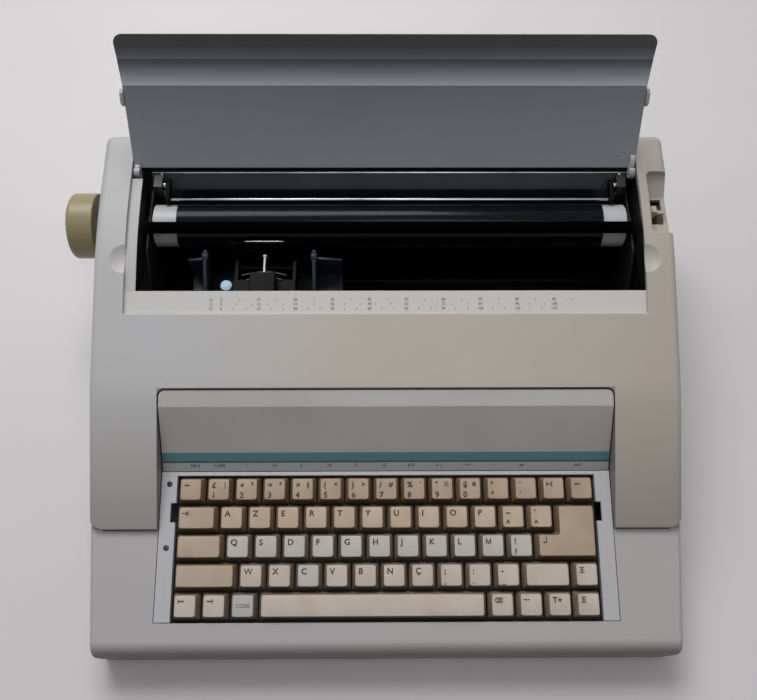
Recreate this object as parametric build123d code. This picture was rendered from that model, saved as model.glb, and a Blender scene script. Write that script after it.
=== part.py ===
from build123d import *
import os
from math import atan2, cos, degrees, radians, sin, tan

os.makedirs("parts", exist_ok=True)

# Electronic typewriter. X runs right, Y runs back, Z runs up.
# The origin is the centre of the footprint on the desk.

# Case
case_width = 402
case_depth = 352
half_width = case_width / 2
case_front = -case_depth / 2
case_back = case_depth / 2
foot_height = 4
foot_radius = 9
foot_inset_x = 34
foot_chamfer = 1
foot_inset_y = 22
seam_height = 16
wall = 2.5
side_round = 5
deck_side_round = 3.5
front_round = 9
rear_round = 7
front_taper = 6             # by which each side draws in from the wing ends to the front
wing_corner_round = 9
tray_corner_round = 6
part_gap = 0.4              # between a cover and what it drops into
plate_gap = 0.3             # between separate bodies that pass each other
seam_gap = 0.1              # between the two halves of the case

# Top of the case, seen from the side: four straight stretches
rear_top_height = 122
rear_tilt = 2
crest_inset = 78
crest_y = case_back - crest_inset
main_slope = 16
bend_y = -10
wing_end_y = -95.5
wing_step = 4               # of the wing ends over the deck
deck_y = -98                # where the height of the deck is taken
deck_height = 47.8
deck_tilt = 8
crest_round = 250
bend_round = 120

# Opening over the platen, with the ledge that the closed cover lies on
recess_inset = 21.5         # of the cover's recess from the sides of the case
cover_ledge = 7.5           # to the left of the opening
opening_inset = 19          # from the back of the case
opening_length = 100
recess_half = half_width - recess_inset
opening_left = cover_ledge - recess_half
opening_right = recess_half
opening_back_y = case_back - opening_inset
opening_front_y = opening_back_y - opening_length
scale_strip = 16.5          # of the recess in front of the opening
cover_recess_front_y = opening_front_y - scale_strip
cover_recess_depth = 3
hinge_inset = 11.5          # from the back of the opening
hinge_drop = 6              # under the rear top
hinge_pocket = 5.9          # in front of the hinge line
cover_hinge_y = opening_back_y - hinge_inset
cover_hinge_z = rear_top_height - hinge_drop
hinge_pocket_y = cover_hinge_y - hinge_pocket
skirt_drop = 27             # of the skirts' foot under the rear top
skirt_foot = rear_top_height - skirt_drop
skirt_thickness = 2

# Platen
platen_inset = 39.5         # from the back of the opening
platen_drop = 32            # of its axis under the rear top
platen_y = opening_back_y - platen_inset
platen_z = rear_top_height - platen_drop
platen_radius = 17.4
rubber_thickness = 3.4
hub_length = 17
hub_radius = 15.2
hub_gap = 2.75              # between the hubs and the side plates
shaft_radius = 4
shaft_end = 4               # of the platen's shaft beyond the right side plate
shaft_hole_gap = 2          # round a shaft that passes a wall
bush_wall = 4
bush_proud = 1
rubber_end_gap = 0.2

# Finger notches beside the opening, and the recess of the release lever
notch_radius = 10.8
notch_depth = 3
notch_setback = 21          # from the front of the opening
notch_y = opening_front_y + notch_setback
lever_recess_inset = 15.5   # of its inner side from the side of the case
recess_left = half_width - lever_recess_inset
recess_front_y = platen_y - 22
recess_rise_y = platen_y + 12.5
recess_back_y = platen_y + 26
recess_depth = 15
recess_floor = rear_top_height - recess_depth
recess_rise = 9
recess_corner = 4
slot_width = 10.5
slot_side = 2               # from the inner side of the recess to the slot
slot_left = recess_left + slot_side
slot_right = slot_left + slot_width
slot_front_y = platen_y - 9.5
slot_back_y = platen_y + 11

# Paper cover, standing open; distances along it from its hinge line
cover_open_angle = 53.5
cover_thickness = 2.5
cover_offset = 2.3          # of its inner face behind the hinge line
cover_start = 3.2
cover_flat = 57.3
cover_bend = 11
cover_hollow = 20.3
cover_lip_bend = 16.5
cover_lip = 15.9
cover_corner_round = 7
cover_lug_radius = 3.8
cover_lug_width = 4
cover_lug_inset = 0.5
hinge_pin_radius = 1.5
running_fit = 0.05

# Keyboard, in the plane of the deck: v runs up the slope, w stands on it
key_pitch = 19.05
keys_across = 15
row_count = 5
rows_top_v = 38.2
bezel_rim = 0.8             # between the cap skirts and the bezel
bezel_side = 11.1           # of the bezel beside the keys
bezel_thickness = 2.2
bezel_skirt = 6
bezel_lip = 1.5             # wall of the skirt round the keys
bezel_gap = 0.5
keys_half_width = keys_across * key_pitch / 2
key_hole_half = keys_half_width + bezel_rim
notch_v = (7.5, 20.5)
notch_width = 3.5
cap_gap = 0.95
cap_height = 8.3
cap_foot_w = -4.2
cap_taper_x = 2.4
cap_top_depth = 14.4
cap_top_shift = 0.5
cap_wall = 1.3
cap_dish = 0.6
cap_corner = 0.9
stem_radius = 2.4
stem_bore_gap = 0.3
stem_reach = 8.3            # of the stem's foot under the cap
space_stem_spread = 110
key_travel = 3.8
sleeve_side_gap = 1.55      # from the inside of a cap at its foot
sleeve_rise = 4
frame_gap = 1.2             # under a cap that is pressed home
frame_thickness = 2
frame_margin = 2
frame_rib = 2
board_gap = 1.3             # under the stem of a cap that is pressed home
board_thickness = 1.6
lamp_radius = 1.9
lamp_foot_w = -7.7
lamp_top_w = -0.3
lamp_inset = 6              # of the lamps in the left strip of the bezel
lamp_vs = (33.3, -9.5)

# Well between the wings, for the panel and the keyboard
well_half_width = key_hole_half + bezel_side
well_back_y = -8.3
well_corner = 5
wing_wall_foot = 38
well_back_wall = 12         # of the back wall under the panel's top edge
deck_rim = 8                # from the seam up to the cut for the keys
ledge_width = 4
ledge_thickness = 2
lug_length = 6
lug_height = 3

# Sloping panel above the keys; its upper facet follows the case, its lower ones stand over the deck
panel_gap = 1
panel_thickness = 2.2
panel_corner = 4
panel_drop = 1.3            # of its top edge under the case
panel_facet = (10.8, 2.7)   # run and fall of the upper facet
panel_lower = [(-45, 7.3), (-50, 4.2), (-56.5, 0.2)]

# Drive of the platen
knob_radius = 23.5
knob_gap = 5.5              # from the side of the case
knob_inner_x = -half_width - knob_gap
knob_length = 19
knob_face_round = 3
knob_back_round = 1.2
knob_socket = 4             # of the shaft's end under the knob's face
gear_module = 1.5
platen_gear_teeth = 32
pinion_teeth = 12
gear_inset = 9.5            # from the side of the case
gear_left_x = gear_inset - half_width
gear_width = 5
pinion_angle = -45
feed_motor_radius = 15
feed_motor_length = 18
motor_shaft_radius = 2

# Frame
plate_thickness = 1.5
left_plate_gap = 2          # from the edge of the opening
right_plate_gap = 3.5
left_plate_x = opening_left + left_plate_gap
right_plate_x = opening_right - right_plate_gap
plate_rise = 9              # over the platen's axis
plate_top = platen_z + plate_rise
plate_back_y = opening_back_y - 1
base_plate_thickness = 1.2
plate_corner = 5
shaft_proud = 1             # of the two long shafts outside the side plates
plate_step = 25             # of the front edge ahead of the platen
plate_neck = 20             # of the low front corner over the guide shaft
span_left = left_plate_x + plate_thickness
rubber_left = span_left + hub_gap + hub_length
rubber_right = right_plate_x - hub_gap - hub_length

# Paper path
table_gap = 4.6
sheet_thickness = 1.2
table_top_reach = (31, 22)   # of its top edge behind and over the platen's axis
table_knee_reach = (23.5, 12)
table_top_point = (platen_y + table_top_reach[0], platen_z + table_top_reach[1])
table_knee_point = (platen_y + table_knee_reach[0], platen_z + table_knee_reach[1])
table_arc_start = 5
table_arc_end = -58
guide_gap = 1.9
guide_arc = (-148, -100)
guide_tab_reach = 6
guide_tab_drop = 1.8        # of the flat tabs under the guide's foot
feed_roller_radius = 6
feed_shaft_radius = 2.5
feed_roller_angle = -80
feed_roller_width = 24
feed_roller_count = 4
feed_gap = 0.1              # between the rollers and the platen
feed_roller_span = 84
bail_pivot_reach = (23.5, 17.5)   # of its pivots behind and over the platen's axis
bail_pivot_y = platen_y + bail_pivot_reach[0]
bail_pivot_z = platen_z + bail_pivot_reach[1]
bail_angle = 50             # round the platen, where the rod lies on the paper
bail_radius = 2
bail_paper_gap = 0.5
bail_overhang = 7.5         # beyond each end of the rubber
bracket_width = 6
bracket_gap = 3.5
bracket_half = 4.5
lever_length = 57
lever_drop = 8              # of the lever's tip under the rear top
lever_tip_z = rear_top_height - lever_drop
lever_pivot_z = lever_tip_z - lever_length
lever_y = platen_y - 1
lever_width = 5
lever_thickness = 4
lever_pin_radius = 2.5
lever_pin_end = 1
lever_eye = 3
lever_side_gap = 0.5
lever_bar = (6, 2.5, 2.5)   # reach, depth and height of the finger bar at the tip
lever_bar_drop = 2

# Carriage
wheel_face_y = platen_y - 21.5
print_x = -86
print_z = platen_z + 2
wheel_radius = 33
wheel_rise = 2              # of the petal tips over the line of print
wheel_thickness = 1
petal_count = 50
petal_width = 1.3
wheel_hub_radius = 13
wheel_motor_radius = 17
wheel_motor_length = 24
wheel_shaft_end = 2
wheel_stand_off = 4.5       # of the wheel from the wall that holds its motor
wheel_clearance = 1.3       # of the wheel over the carriage's floor
motor_wall = 2.5
motor_fit = 0.6             # between the wheel's motor and the cheeks
carriage_half = 55
carriage_left = print_x - carriage_half
carriage_right = print_x + carriage_half
carriage_front_y = wheel_face_y - 46
carriage_back_y = wheel_face_y + 16
carriage_floor_thickness = 2.4
cheek_half = 19.5
cheek_thickness = 2.5
cheek_top = print_z - 6
cheek_setback = 2
deck_drop = 28              # of the carriage's deck under the line of print
deck_z = print_z - deck_drop
deck_thickness = 3
shaft_setback = 34          # of the guide shaft in front of the print wheel
shaft_y = wheel_face_y - shaft_setback
shaft_rise = 9.7            # of the guide shaft's axis over the foot of the carriage
guide_radius = 5
bearing_half_depth = 11
bearing_inset = 8
bearing_rise = 7.5          # of the bearing block over the guide shaft's axis
hammer_width = 4
hammer_height = 4
hammer_front_gap = 1.5      # from the front of the opening
hammer_stroke = 3
hammer_tip_gap = 1          # to the wheel at the end of the stroke
bridge_thickness = 5
coil_length = 15
coil_half_width = 9
coil_rise = 9
coil_edge_round = 1
card_y = wheel_face_y + 2
card_thickness = 0.8
card_half_width = 14.5
card_top = print_z + 8
card_window = 4
arm_thickness = 2.5
arm_top = print_z + 5
arm_back_y = wheel_face_y - 2
arm_setback = 4
arm_front_rise = 12
arm_back_rise = 10
arm_shelf = 12
arm_shelf_thickness = 2
arm_ring_radius = 4
arm_ring_width = 3
spindle_side = 28           # of the ribbon spindle to the left of the print wheel
spindle_x = print_x - spindle_side
spindle_y = wheel_face_y - 24
spindle_radius = 4.5
spindle_core_radius = 2.5
spindle_flange = 3
spindle_fin = 1.4
spindle_top = print_z - 8
rear_rail_y = wheel_face_y + 10
rear_rail_thickness = 2
rear_rail_foot = 5

# Belt drive of the carriage
belt_setback = 32           # of the belt in front of the guide shaft
belt_y = shaft_y - belt_setback
belt_height = 6
belt_thickness = 1.2
pulley_radius = 8
pulley_flange = 2
pulley_rim = 1
pulley_side_gap = 1
motor_pulley_inset = 26     # from the side plates
idler_pulley_inset = 12
motor_pulley_x = right_plate_x - motor_pulley_inset
idler_pulley_x = span_left + idler_pulley_inset
carriage_motor_half = 17.5
motor_pulley_gap = 6.3      # from the carriage motor up to its pulley
carriage_motor_round = 3
idler_post_radius = 5
belt_clamp = (28, 12)       # width and height
post_rise = 3               # of the pulley shafts over the belt
base_plate_reach = 22       # of the base plate in front of the belt
side_plate_reach = 12       # of the side plates in front of the guide shaft
base_plate_front_y = belt_y - base_plate_reach
plate_front_y = shaft_y - side_plate_reach

# Electrics
main_board_size = (200, 52)
main_board_reach = 48       # of its middle in front of the belt
main_board_centre = (-40, belt_y - main_board_reach)
main_board_z = 12.5
board_chip_height = 4
board_chips = (35, 25, 25, 14, 14)
board_chip_pitch = 38
board_chip_depth = 14
board_post_radius = 3
board_post_inset = 6
keyboard_post_x = 120
keyboard_post_inset = 8
transformer_reach = 46      # of its middle in front of the belt
transformer_centre = (122, belt_y - transformer_reach)
transformer_core = (52, 40, 42)
coil_bulge = 6
coil_inset = 7
inlet_x = 130
inlet_z = 38
inlet_width = 24
inlet_height = 16
inlet_depth = 17
inlet_flange = 2.5
inlet_pin_radius = 1.2
inlet_pin_spread = 4.6
inlet_pin_inset = 4
socket_size = (18, 10)
socket_floor = 3
switch_x = 104
rocker_radius = 7.5
rocker_width = 11
rocker_trunnion = 1.5
trunnion_length = 1.8
rocker_proud = 1.2
rocker_rest = 8             # its tilt with the switch off
rocker_dip = 2.2
rocker_edge = (4.4, 6.2)    # of its two high edges: proud of the pivot, and to each side
rocker_gap = 0.5
rocker_hole = (2, 7)        # of the case beside the rocker, and of the well to each side

# Screws
screw_radius = 1.45
screw_head_radius = 3
screw_head_height = 2
screw_slot = 0.8
screw_length = 22
screw_hole_gap = 0.3
boss_radius = 4
screw_inset_x = 14
screw_inset_y = 18

floor_top = foot_height + wall
sole = floor_top + base_plate_thickness
clear = 1                   # by which a cutting solid passes the face that it cuts
high = rear_top_height + 9  # over everything that is cut from above


# Plain solids

def block(x0, x1, y0, y1, z0, z1):
    return Pos((x0 + x1) / 2, (y0 + y1) / 2, (z0 + z1) / 2) * Box(x1 - x0, y1 - y0, z1 - z0)


def rod_x(radius, x0, x1, y, z):
    return Pos((x0 + x1) / 2, y, z) * Rot(0, 90, 0) * Cylinder(radius, x1 - x0)


def rod_y(radius, y0, y1, x, z):
    return Pos(x, (y0 + y1) / 2, z) * Rot(90, 0, 0) * Cylinder(radius, y1 - y0)


def rod_z(radius, z0, z1, x, y):
    return Pos(x, y, (z0 + z1) / 2) * Cylinder(radius, z1 - z0)


def prism_x(face, x0, x1):
    return extrude(Plane.YZ.offset(x0) * face, amount=x1 - x0)


def polygon(points, radii=None):
    if radii is None:
        return make_face(Polyline(*points, close=True))
    return make_face(FilletPolyline(*points, radius=radii, close=True))


def parallel(points, distance):
    """Points of the line that runs beside a bent line, on its left."""
    shifted = []
    for i, (a, b) in enumerate(points):
        before = points[max(i - 1, 0)]
        after = points[min(i + 1, len(points) - 1)]
        turn_in = atan2(b - before[1], a - before[0]) if i > 0 else None
        turn_out = atan2(after[1] - b, after[0] - a) if i < len(points) - 1 else None
        first = turn_in if turn_in is not None else turn_out
        last = turn_out if turn_out is not None else turn_in
        middle = (first + last) / 2
        reach = distance / cos((last - first) / 2)
        shifted.append((a - reach * sin(middle), b + reach * cos(middle)))
    return shifted


def strip_face(points, thickness):
    return polygon(points + parallel(points, thickness)[::-1])


def arc_face(y, z, radius, thickness, start, end):
    """A bent sheet, concentric with the line y, z."""
    outer = CenterArc((y, z), radius + thickness, start, end - start)
    inner = CenterArc((y, z), radius, start, end - start)
    return make_face([outer, Line(outer @ 1, inner @ 1), inner, Line(inner @ 0, outer @ 0)])


def around(y, z, radius, angle):
    return y + radius * cos(radians(angle)), z + radius * sin(radians(angle))


def save(name, *shapes):
    solids = [solid for shape in shapes for solid in shape.solids()]
    export_step(solids[0] if len(solids) == 1 else Compound(solids), f"parts/{name}.step")


# Side profile of the case

def lowered(line, inset):
    y, z, angle = line
    return y, z - inset / cos(radians(angle)), angle


def height_on(line, y):
    return line[1] + (y - line[0]) * tan(radians(line[2]))


def crossing(first, second):
    k1, k2 = tan(radians(first[2])), tan(radians(second[2]))
    y = (second[1] - first[1] + first[0] * k1 - second[0] * k2) / (k1 - k2)
    return y, height_on(first, y)


rear_line = (case_back, rear_top_height, rear_tilt)
main_line = (crest_y, height_on(rear_line, crest_y), main_slope)
deck_line = (deck_y, deck_height, deck_tilt)
bend_z = height_on(main_line, bend_y)
wing_fall = bend_z - wing_step - height_on(deck_line, wing_end_y)
wing_line = (bend_y, bend_z, degrees(atan2(wing_fall, bend_y - wing_end_y)))
lower_back_y = wing_end_y + 4 * wing_corner_round


def upper_profile(inset, base):
    """Side of the case behind the wing ends."""
    rear, main, wing = (lowered(line, inset) for line in (rear_line, main_line, wing_line))
    front = wing_end_y + inset
    back = case_back - inset
    points = [(front, base), (front, height_on(wing, front)), crossing(wing, main),
              crossing(main, rear), (back, height_on(rear, back)), (back, base)]
    radii = [0, 0, bend_round - inset, crest_round - inset,
             rear_round - inset, 0]
    return polygon(points, radii)


def lower_profile(inset, base):
    """Side of the keyboard deck, carried on inside the wings."""
    deck = lowered(deck_line, inset)
    front = case_front + inset
    points = [(front, base), (front, height_on(deck, front)), (lower_back_y, height_on(deck, lower_back_y)),
              (lower_back_y, base)]
    return polygon(points, [0, front_round - inset, 0, 0])


def plan(inset, back, corner, back_corner):
    """The case from above: its sides draw in from the wing ends to the front."""
    half, front = half_width - inset, case_front + inset
    tip = half - front_taper
    points = [(-half, back), (-half, wing_end_y), (-tip, front), (tip, front), (half, wing_end_y),
              (half, back)]
    return polygon(points, [back_corner, 0, corner, corner, 0, back_corner])


def upright(face, z0, z1):
    return extrude(Pos(0, 0, z0) * face, amount=z1 - z0)


def case_block(inset, base, rounded):
    half = half_width - inset
    upper = prism_x(upper_profile(inset, base), -half, half)
    lower = prism_x(lower_profile(inset, base), -half, half)
    lower &= upright(plan(inset, lower_back_y, 0, 0), base, high)
    if rounded:
        upper = fillet(rim_edges(upper, base, wing_end_y + inset), side_round)
        lower = fillet(rim_edges(lower, base, lower_back_y), deck_side_round)
    corner = wing_corner_round - inset
    ends = polygon([(-half, case_back), (-half, wing_end_y + inset), (half, wing_end_y + inset),
                    (half, case_back)], [0, corner, corner, 0])
    return (upper & upright(ends, base, high)) + lower


def rim_edges(shape, base, cut_y):
    """Edges of the two sides, apart from the lowest, those at the cut-off end and where the taper starts."""
    picked = []
    sides = [face for face in shape.faces() if abs(face.normal_at().X) > 0.9]
    for edge in {e for face in sides for e in face.edges()}:
        middle = edge.center()
        upright_edge = abs((edge % 0.5).Z) > 0.99
        at_taper = upright_edge and abs(middle.Y - wing_end_y) < 0.01
        if middle.Z > base + 0.01 and abs(middle.Y - cut_y) > 0.01 and not at_taper:
            picked.append(edge)
    return picked


def skin(inset, thickness, x0, x1, y0, y1):
    """A piece of sheet that follows the top of the case at a depth."""
    outer = prism_x(upper_profile(inset, seam_height), x0, x1)
    inner = prism_x(upper_profile(inset + thickness, seam_height - clear), x0 - clear, x1 + clear)
    return (outer - inner) & block(x0, x1, y0, y1, seam_height, rear_top_height)


def above_skin(inset, x0, x1, y0, y1):
    """All the space over the top of the case lowered by the inset."""
    solid = prism_x(upper_profile(inset, seam_height), x0 - clear, x1 + clear)
    return block(x0, x1, y0, y1, seam_height, high) - solid


# The keyboard's own plane

def panel_outline():
    """The panel's outer face from the side, from its top edge down to the keys."""
    top = (well_back_y - panel_gap, height_on(main_line, well_back_y - panel_gap) - panel_drop)
    run, fall = panel_facet
    low = [(y, height_on(deck_line, y) + rise) for y, rise in panel_lower]
    return [top, (top[0] - run, top[1] - fall), *low]


panel_points = panel_outline()
deck_slope = cos(radians(deck_tilt))
bezel_back_v = (panel_points[-1][0] - part_gap - deck_y) / deck_slope
keyboard_plane = Plane(origin=(0, deck_y, deck_height), x_dir=(1, 0, 0),
                       z_dir=(0, -sin(radians(deck_tilt)), cos(radians(deck_tilt))))
rows_bottom_v = rows_top_v - row_count * key_pitch
key_hole_back_v = rows_top_v + bezel_rim
key_hole_front_v = rows_bottom_v - bezel_rim
well_front_y = deck_y + key_hole_front_v * deck_slope
lamp_x = lamp_inset - well_half_width
screw_places = [(sx * (half_width - screw_inset_x), sy * (case_back - screw_inset_y))
                for sx in (-1, 1) for sy in (-1, 1)]


def on_deck(shape):
    return keyboard_plane.location * shape


# Case pieces

def opening_skirts():
    """Walls that hang from the edges of the opening over the platen."""
    left = block(opening_left - skirt_thickness, opening_left, opening_front_y - wall, hinge_pocket_y,
                 skirt_foot, rear_top_height)
    pocket = block(-recess_half - skirt_thickness, -recess_half, hinge_pocket_y - skirt_thickness,
                   opening_back_y + skirt_thickness, skirt_foot, rear_top_height)
    step = block(-recess_half, opening_left - skirt_thickness, hinge_pocket_y - skirt_thickness,
                 hinge_pocket_y, skirt_foot, rear_top_height)
    right = block(opening_right, opening_right + skirt_thickness, opening_front_y - wall,
                  opening_back_y + skirt_thickness, skirt_foot, rear_top_height)
    front = block(opening_left - skirt_thickness, opening_right + skirt_thickness, opening_front_y - wall,
                  opening_front_y, skirt_foot, rear_top_height)
    return left + pocket + step + right + front


def wing_walls():
    outer = well_half_width + wall
    sides = [block(x0, x1, wing_end_y + wall, well_back_y + wall, wing_wall_foot, rear_top_height)
             for x0, x1 in ((-outer, -well_half_width), (well_half_width, outer))]
    back = block(-well_half_width, well_half_width, well_back_y, well_back_y + wall,
                 panel_points[0][1] - well_back_wall, rear_top_height)
    return sides[0] + sides[1] + back


def bezel_ledges():
    """Rails under the sides and front of the keyboard bezel."""
    top = -bezel_thickness
    foot = top - ledge_thickness
    inner = well_half_width - ledge_width
    length = bezel_back_v - key_hole_front_v
    middle = (bezel_back_v + key_hole_front_v) / 2
    rails = [Pos(side * (inner + (ledge_width + wall) / 2), middle, (top + foot) / 2)
             * Box(ledge_width + wall, length, ledge_thickness) for side in (-1, 1)]
    return on_deck(rails[0] + rails[1])


def panel_ledges():
    """Lugs on the wing walls that the sloping panel rests on."""
    lugs = []
    under = parallel(panel_points, panel_thickness)
    for side in (-1, 1):
        for y, z in (under[1], under[2]):
            x, top = side * well_half_width, z - ledge_width
            lugs.append(block(x - ledge_width, x + ledge_width, y - clear, y - clear + lug_length,
                              top - lug_height, top))
    return lugs


def recess_block():
    return block(recess_left - wall, half_width - wall / 2, recess_front_y - wall, recess_back_y + wall,
                 recess_floor - wall, recess_floor + recess_rise + wall)


def lever_recess():
    """Hollow for the fingers, with a floor that rises at the back."""
    points = [(recess_front_y, recess_floor), (recess_rise_y, recess_floor),
              (recess_back_y, recess_floor + recess_rise), (recess_back_y, high), (recess_front_y, high)]
    hollow = prism_x(polygon(points), recess_left, half_width + clear)
    corners = [e for e in hollow.edges().filter_by(Axis.Z) if e.center().X < recess_left + clear]
    return fillet(corners, recess_corner)


def finger_notch(x):
    """A shallow round dip, square to the slope that it is pressed into."""
    radius = (notch_radius ** 2 + notch_depth ** 2) / (2 * notch_depth)
    slope = radians(main_slope)
    reach = radius - notch_depth
    z = height_on(main_line, notch_y)
    return Pos(x, notch_y - reach * sin(slope), z + reach * cos(slope)) * Sphere(radius)


def well_cut():
    """Room for the panel and the keyboard, with rounded corners at the back."""
    cut = block(-well_half_width, well_half_width, well_front_y, well_back_y, seam_height + deck_rim, high)
    corners = [e for e in cut.edges().filter_by(Axis.Z) if e.center().Y > well_back_y - clear]
    return fillet(corners, well_corner)


def case_bosses():
    bosses = []
    for x, y in screw_places:
        bosses.append(rod_z(boss_radius, seam_height, rear_top_height, x, y))
    return bosses


def top_case():
    solid = case_block(0, seam_height, True)
    shell = solid - case_block(wall, seam_height - clear, False)
    ledge = skin(cover_recess_depth, wall, -recess_half - wall, opening_right + wall,
                 cover_recess_front_y - wall, opening_front_y)
    left_ledge = skin(cover_recess_depth, wall, -recess_half - wall, opening_left,
                      opening_front_y, hinge_pocket_y)
    notch_pads = [skin(wall - clear, notch_depth + clear, x0, x1, notch_y - notch_radius - wall,
                       notch_y + notch_radius + wall)
                  for x0, x1 in ((-recess_half - notch_radius - wall, -recess_half),
                                 (opening_right, opening_right + notch_radius + wall))]
    extras = [ledge, left_ledge, *notch_pads, opening_skirts(), wing_walls(), recess_block() & solid]
    for extra in extras:
        shell += extra & solid
    for boss in case_bosses():
        shell += boss & solid

    shell -= well_cut()
    shell -= above_skin(cover_recess_depth, -recess_half, opening_right,
                        cover_recess_front_y, opening_back_y)
    for x in (-recess_half, opening_right):
        shell -= finger_notch(x)
    shell -= block(opening_left, opening_right, opening_front_y, opening_back_y, skirt_foot - clear, high)
    shell -= block(-recess_half, opening_left + clear, hinge_pocket_y, opening_back_y,
                   skirt_foot - clear, high)
    shell -= lever_recess()
    shell -= block(slot_left, slot_right, slot_front_y, slot_back_y, recess_floor - wall - clear,
                   recess_floor + clear)
    for lug in panel_ledges():
        shell += lug
    shell += bezel_ledges()
    for x in (-recess_half - skirt_thickness, opening_right + skirt_thickness):
        shell -= rod_x(hinge_pin_radius, x - skirt_thickness - clear, x + skirt_thickness + clear,
                       cover_hinge_y, cover_hinge_z)
    shell -= rod_x(shaft_radius + shaft_hole_gap, -half_width - clear, -half_width + wall + clear,
                   platen_y, platen_z)
    back, foot, top = case_back - wall - clear, inlet_z - inlet_height / 2, inlet_z + inlet_height / 2
    shell -= block(inlet_x - inlet_width / 2, inlet_x + inlet_width / 2, back, case_back + clear, foot, top)
    shell -= block(switch_x - switch_half, switch_x + switch_half, back, case_back + clear, foot, top)
    for x, y in screw_places:
        shell -= rod_z(screw_radius + running_fit, seam_height - clear, foot_height + screw_length + clear,
                       x, y)
    return shell


def bottom_case():
    rim = seam_height - seam_gap
    corner, inner_corner = tray_corner_round, tray_corner_round - wall
    tray = upright(plan(0, case_back, corner, corner), foot_height, rim)
    tray -= upright(plan(wall, case_back - wall, inner_corner, inner_corner), floor_top, seam_height + clear)
    for x, y in screw_places:
        tray += rod_z(boss_radius + 1, foot_height, rim, x, y)
        tray -= rod_z(screw_radius + screw_hole_gap, foot_height - clear, seam_height + clear, x, y)
        tray -= rod_z(screw_head_radius + screw_hole_gap, foot_height - clear,
                      foot_height + screw_head_height, x, y)
    for x, y, top in board_posts():
        tray += rod_z(board_post_radius, foot_height + clear, top, x, y)
    return tray


def board_posts():
    """Posts that carry the keyboard's board and the main board."""
    posts = []
    for x in (-keyboard_post_x, 0, keyboard_post_x):
        for v in (rows_bottom_v + keyboard_post_inset, rows_top_v - keyboard_post_inset):
            place = keyboard_plane.location * Pos(x, v, board_top_w - board_thickness)
            y, z = place.position.Y, place.position.Z
            posts.append((x, y, z - board_post_radius * tan(radians(deck_tilt))))
    cx, cy = main_board_centre
    for sx in (-1, 1):
        for sy in (-1, 1):
            posts.append((cx + sx * (main_board_size[0] / 2 - board_post_inset),
                          cy + sy * (main_board_size[1] / 2 - board_post_inset), main_board_z))
    return posts


def case_screws():
    screws = []
    for x, y in screw_places:
        head = rod_z(screw_head_radius, foot_height, foot_height + screw_head_height, x, y)
        shank = rod_z(screw_radius, foot_height + screw_head_height, foot_height + screw_length, x, y)
        slot = block(x - screw_head_radius, x + screw_head_radius, y - screw_slot / 2, y + screw_slot / 2,
                     foot_height - clear, foot_height + screw_slot)
        screws.append(head + shank - slot)
    return screws


def rubber_feet():
    feet = []
    for sx in (-1, 1):
        for sy in (-1, 1):
            x, y = sx * (half_width - foot_inset_x), sy * (case_back - foot_inset_y)
            foot = rod_z(foot_radius, 0, foot_height, x, y)
            feet.append(chamfer(foot.faces().sort_by(Axis.Z)[0].edges(), foot_chamfer))
    return feet


def front_panel():
    """Sloping panel: a bent sheet with closed ends and two rounded top corners."""
    half = well_half_width - panel_gap
    sheet = prism_x(strip_face(panel_points, panel_thickness), -half, half)
    top_y = panel_points[0][0]
    edges = sheet.edges().filter_by(lambda e: abs(e.length - panel_thickness) < part_gap)
    sheet = fillet([e for e in edges if e.center().Y > top_y - clear], panel_corner)
    under = parallel(panel_points, panel_thickness)
    cheek = polygon([panel_points[1], panel_points[2], under[2], (panel_points[1][0], under[2][1])])
    ends = [prism_x(cheek, x, x + panel_thickness) for x in (-half, half - panel_thickness)]
    return sheet + ends[0] + ends[1]


def keyboard_bezel():
    """A frame round the keys, open at the front where the deck closes it."""
    half = well_half_width - bezel_gap
    front = key_hole_front_v + part_gap
    frame = block(-half, half, front, bezel_back_v, -bezel_thickness, 0)
    lip = key_hole_half + bezel_lip
    frame += block(-lip, lip, front, key_hole_back_v + bezel_lip, -bezel_skirt, -bezel_thickness)
    frame -= block(-key_hole_half, key_hole_half, front - clear, key_hole_back_v, -bezel_skirt - clear, clear)
    for x in (-key_hole_half, key_hole_half):
        frame -= block(x - notch_width, x + notch_width, *notch_v, -bezel_skirt - clear, clear)
    for v in lamp_vs:
        frame -= rod_z(lamp_radius + running_fit, -bezel_skirt - clear, clear, lamp_x, v)
    return on_deck(frame)


def status_lamps():
    lamps = []
    for v in lamp_vs:
        body = rod_z(lamp_radius, lamp_foot_w, lamp_top_w, lamp_x, v)
        lamps.append(on_deck(fillet(body.edges().sort_by(Axis.Z)[-1], 1)))
    return lamps


# Paper cover

def cover_points():
    x0 = cover_start
    bend, lip = radians(cover_bend), radians(cover_lip_bend)
    points = [(x0, -cover_offset), (x0 + cover_flat, -cover_offset)]
    points.append((points[-1][0] + cover_hollow * cos(bend), points[-1][1] + cover_hollow * sin(bend)))
    points.append((points[-1][0] + cover_lip * cos(lip), points[-1][1] + cover_lip * sin(lip)))
    return points


def cover_plane(x):
    angle = radians(cover_open_angle)
    along = (0, cos(angle), sin(angle))
    return Plane(origin=(x, cover_hinge_y, cover_hinge_z), x_dir=along, z_dir=(1, 0, 0))


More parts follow.
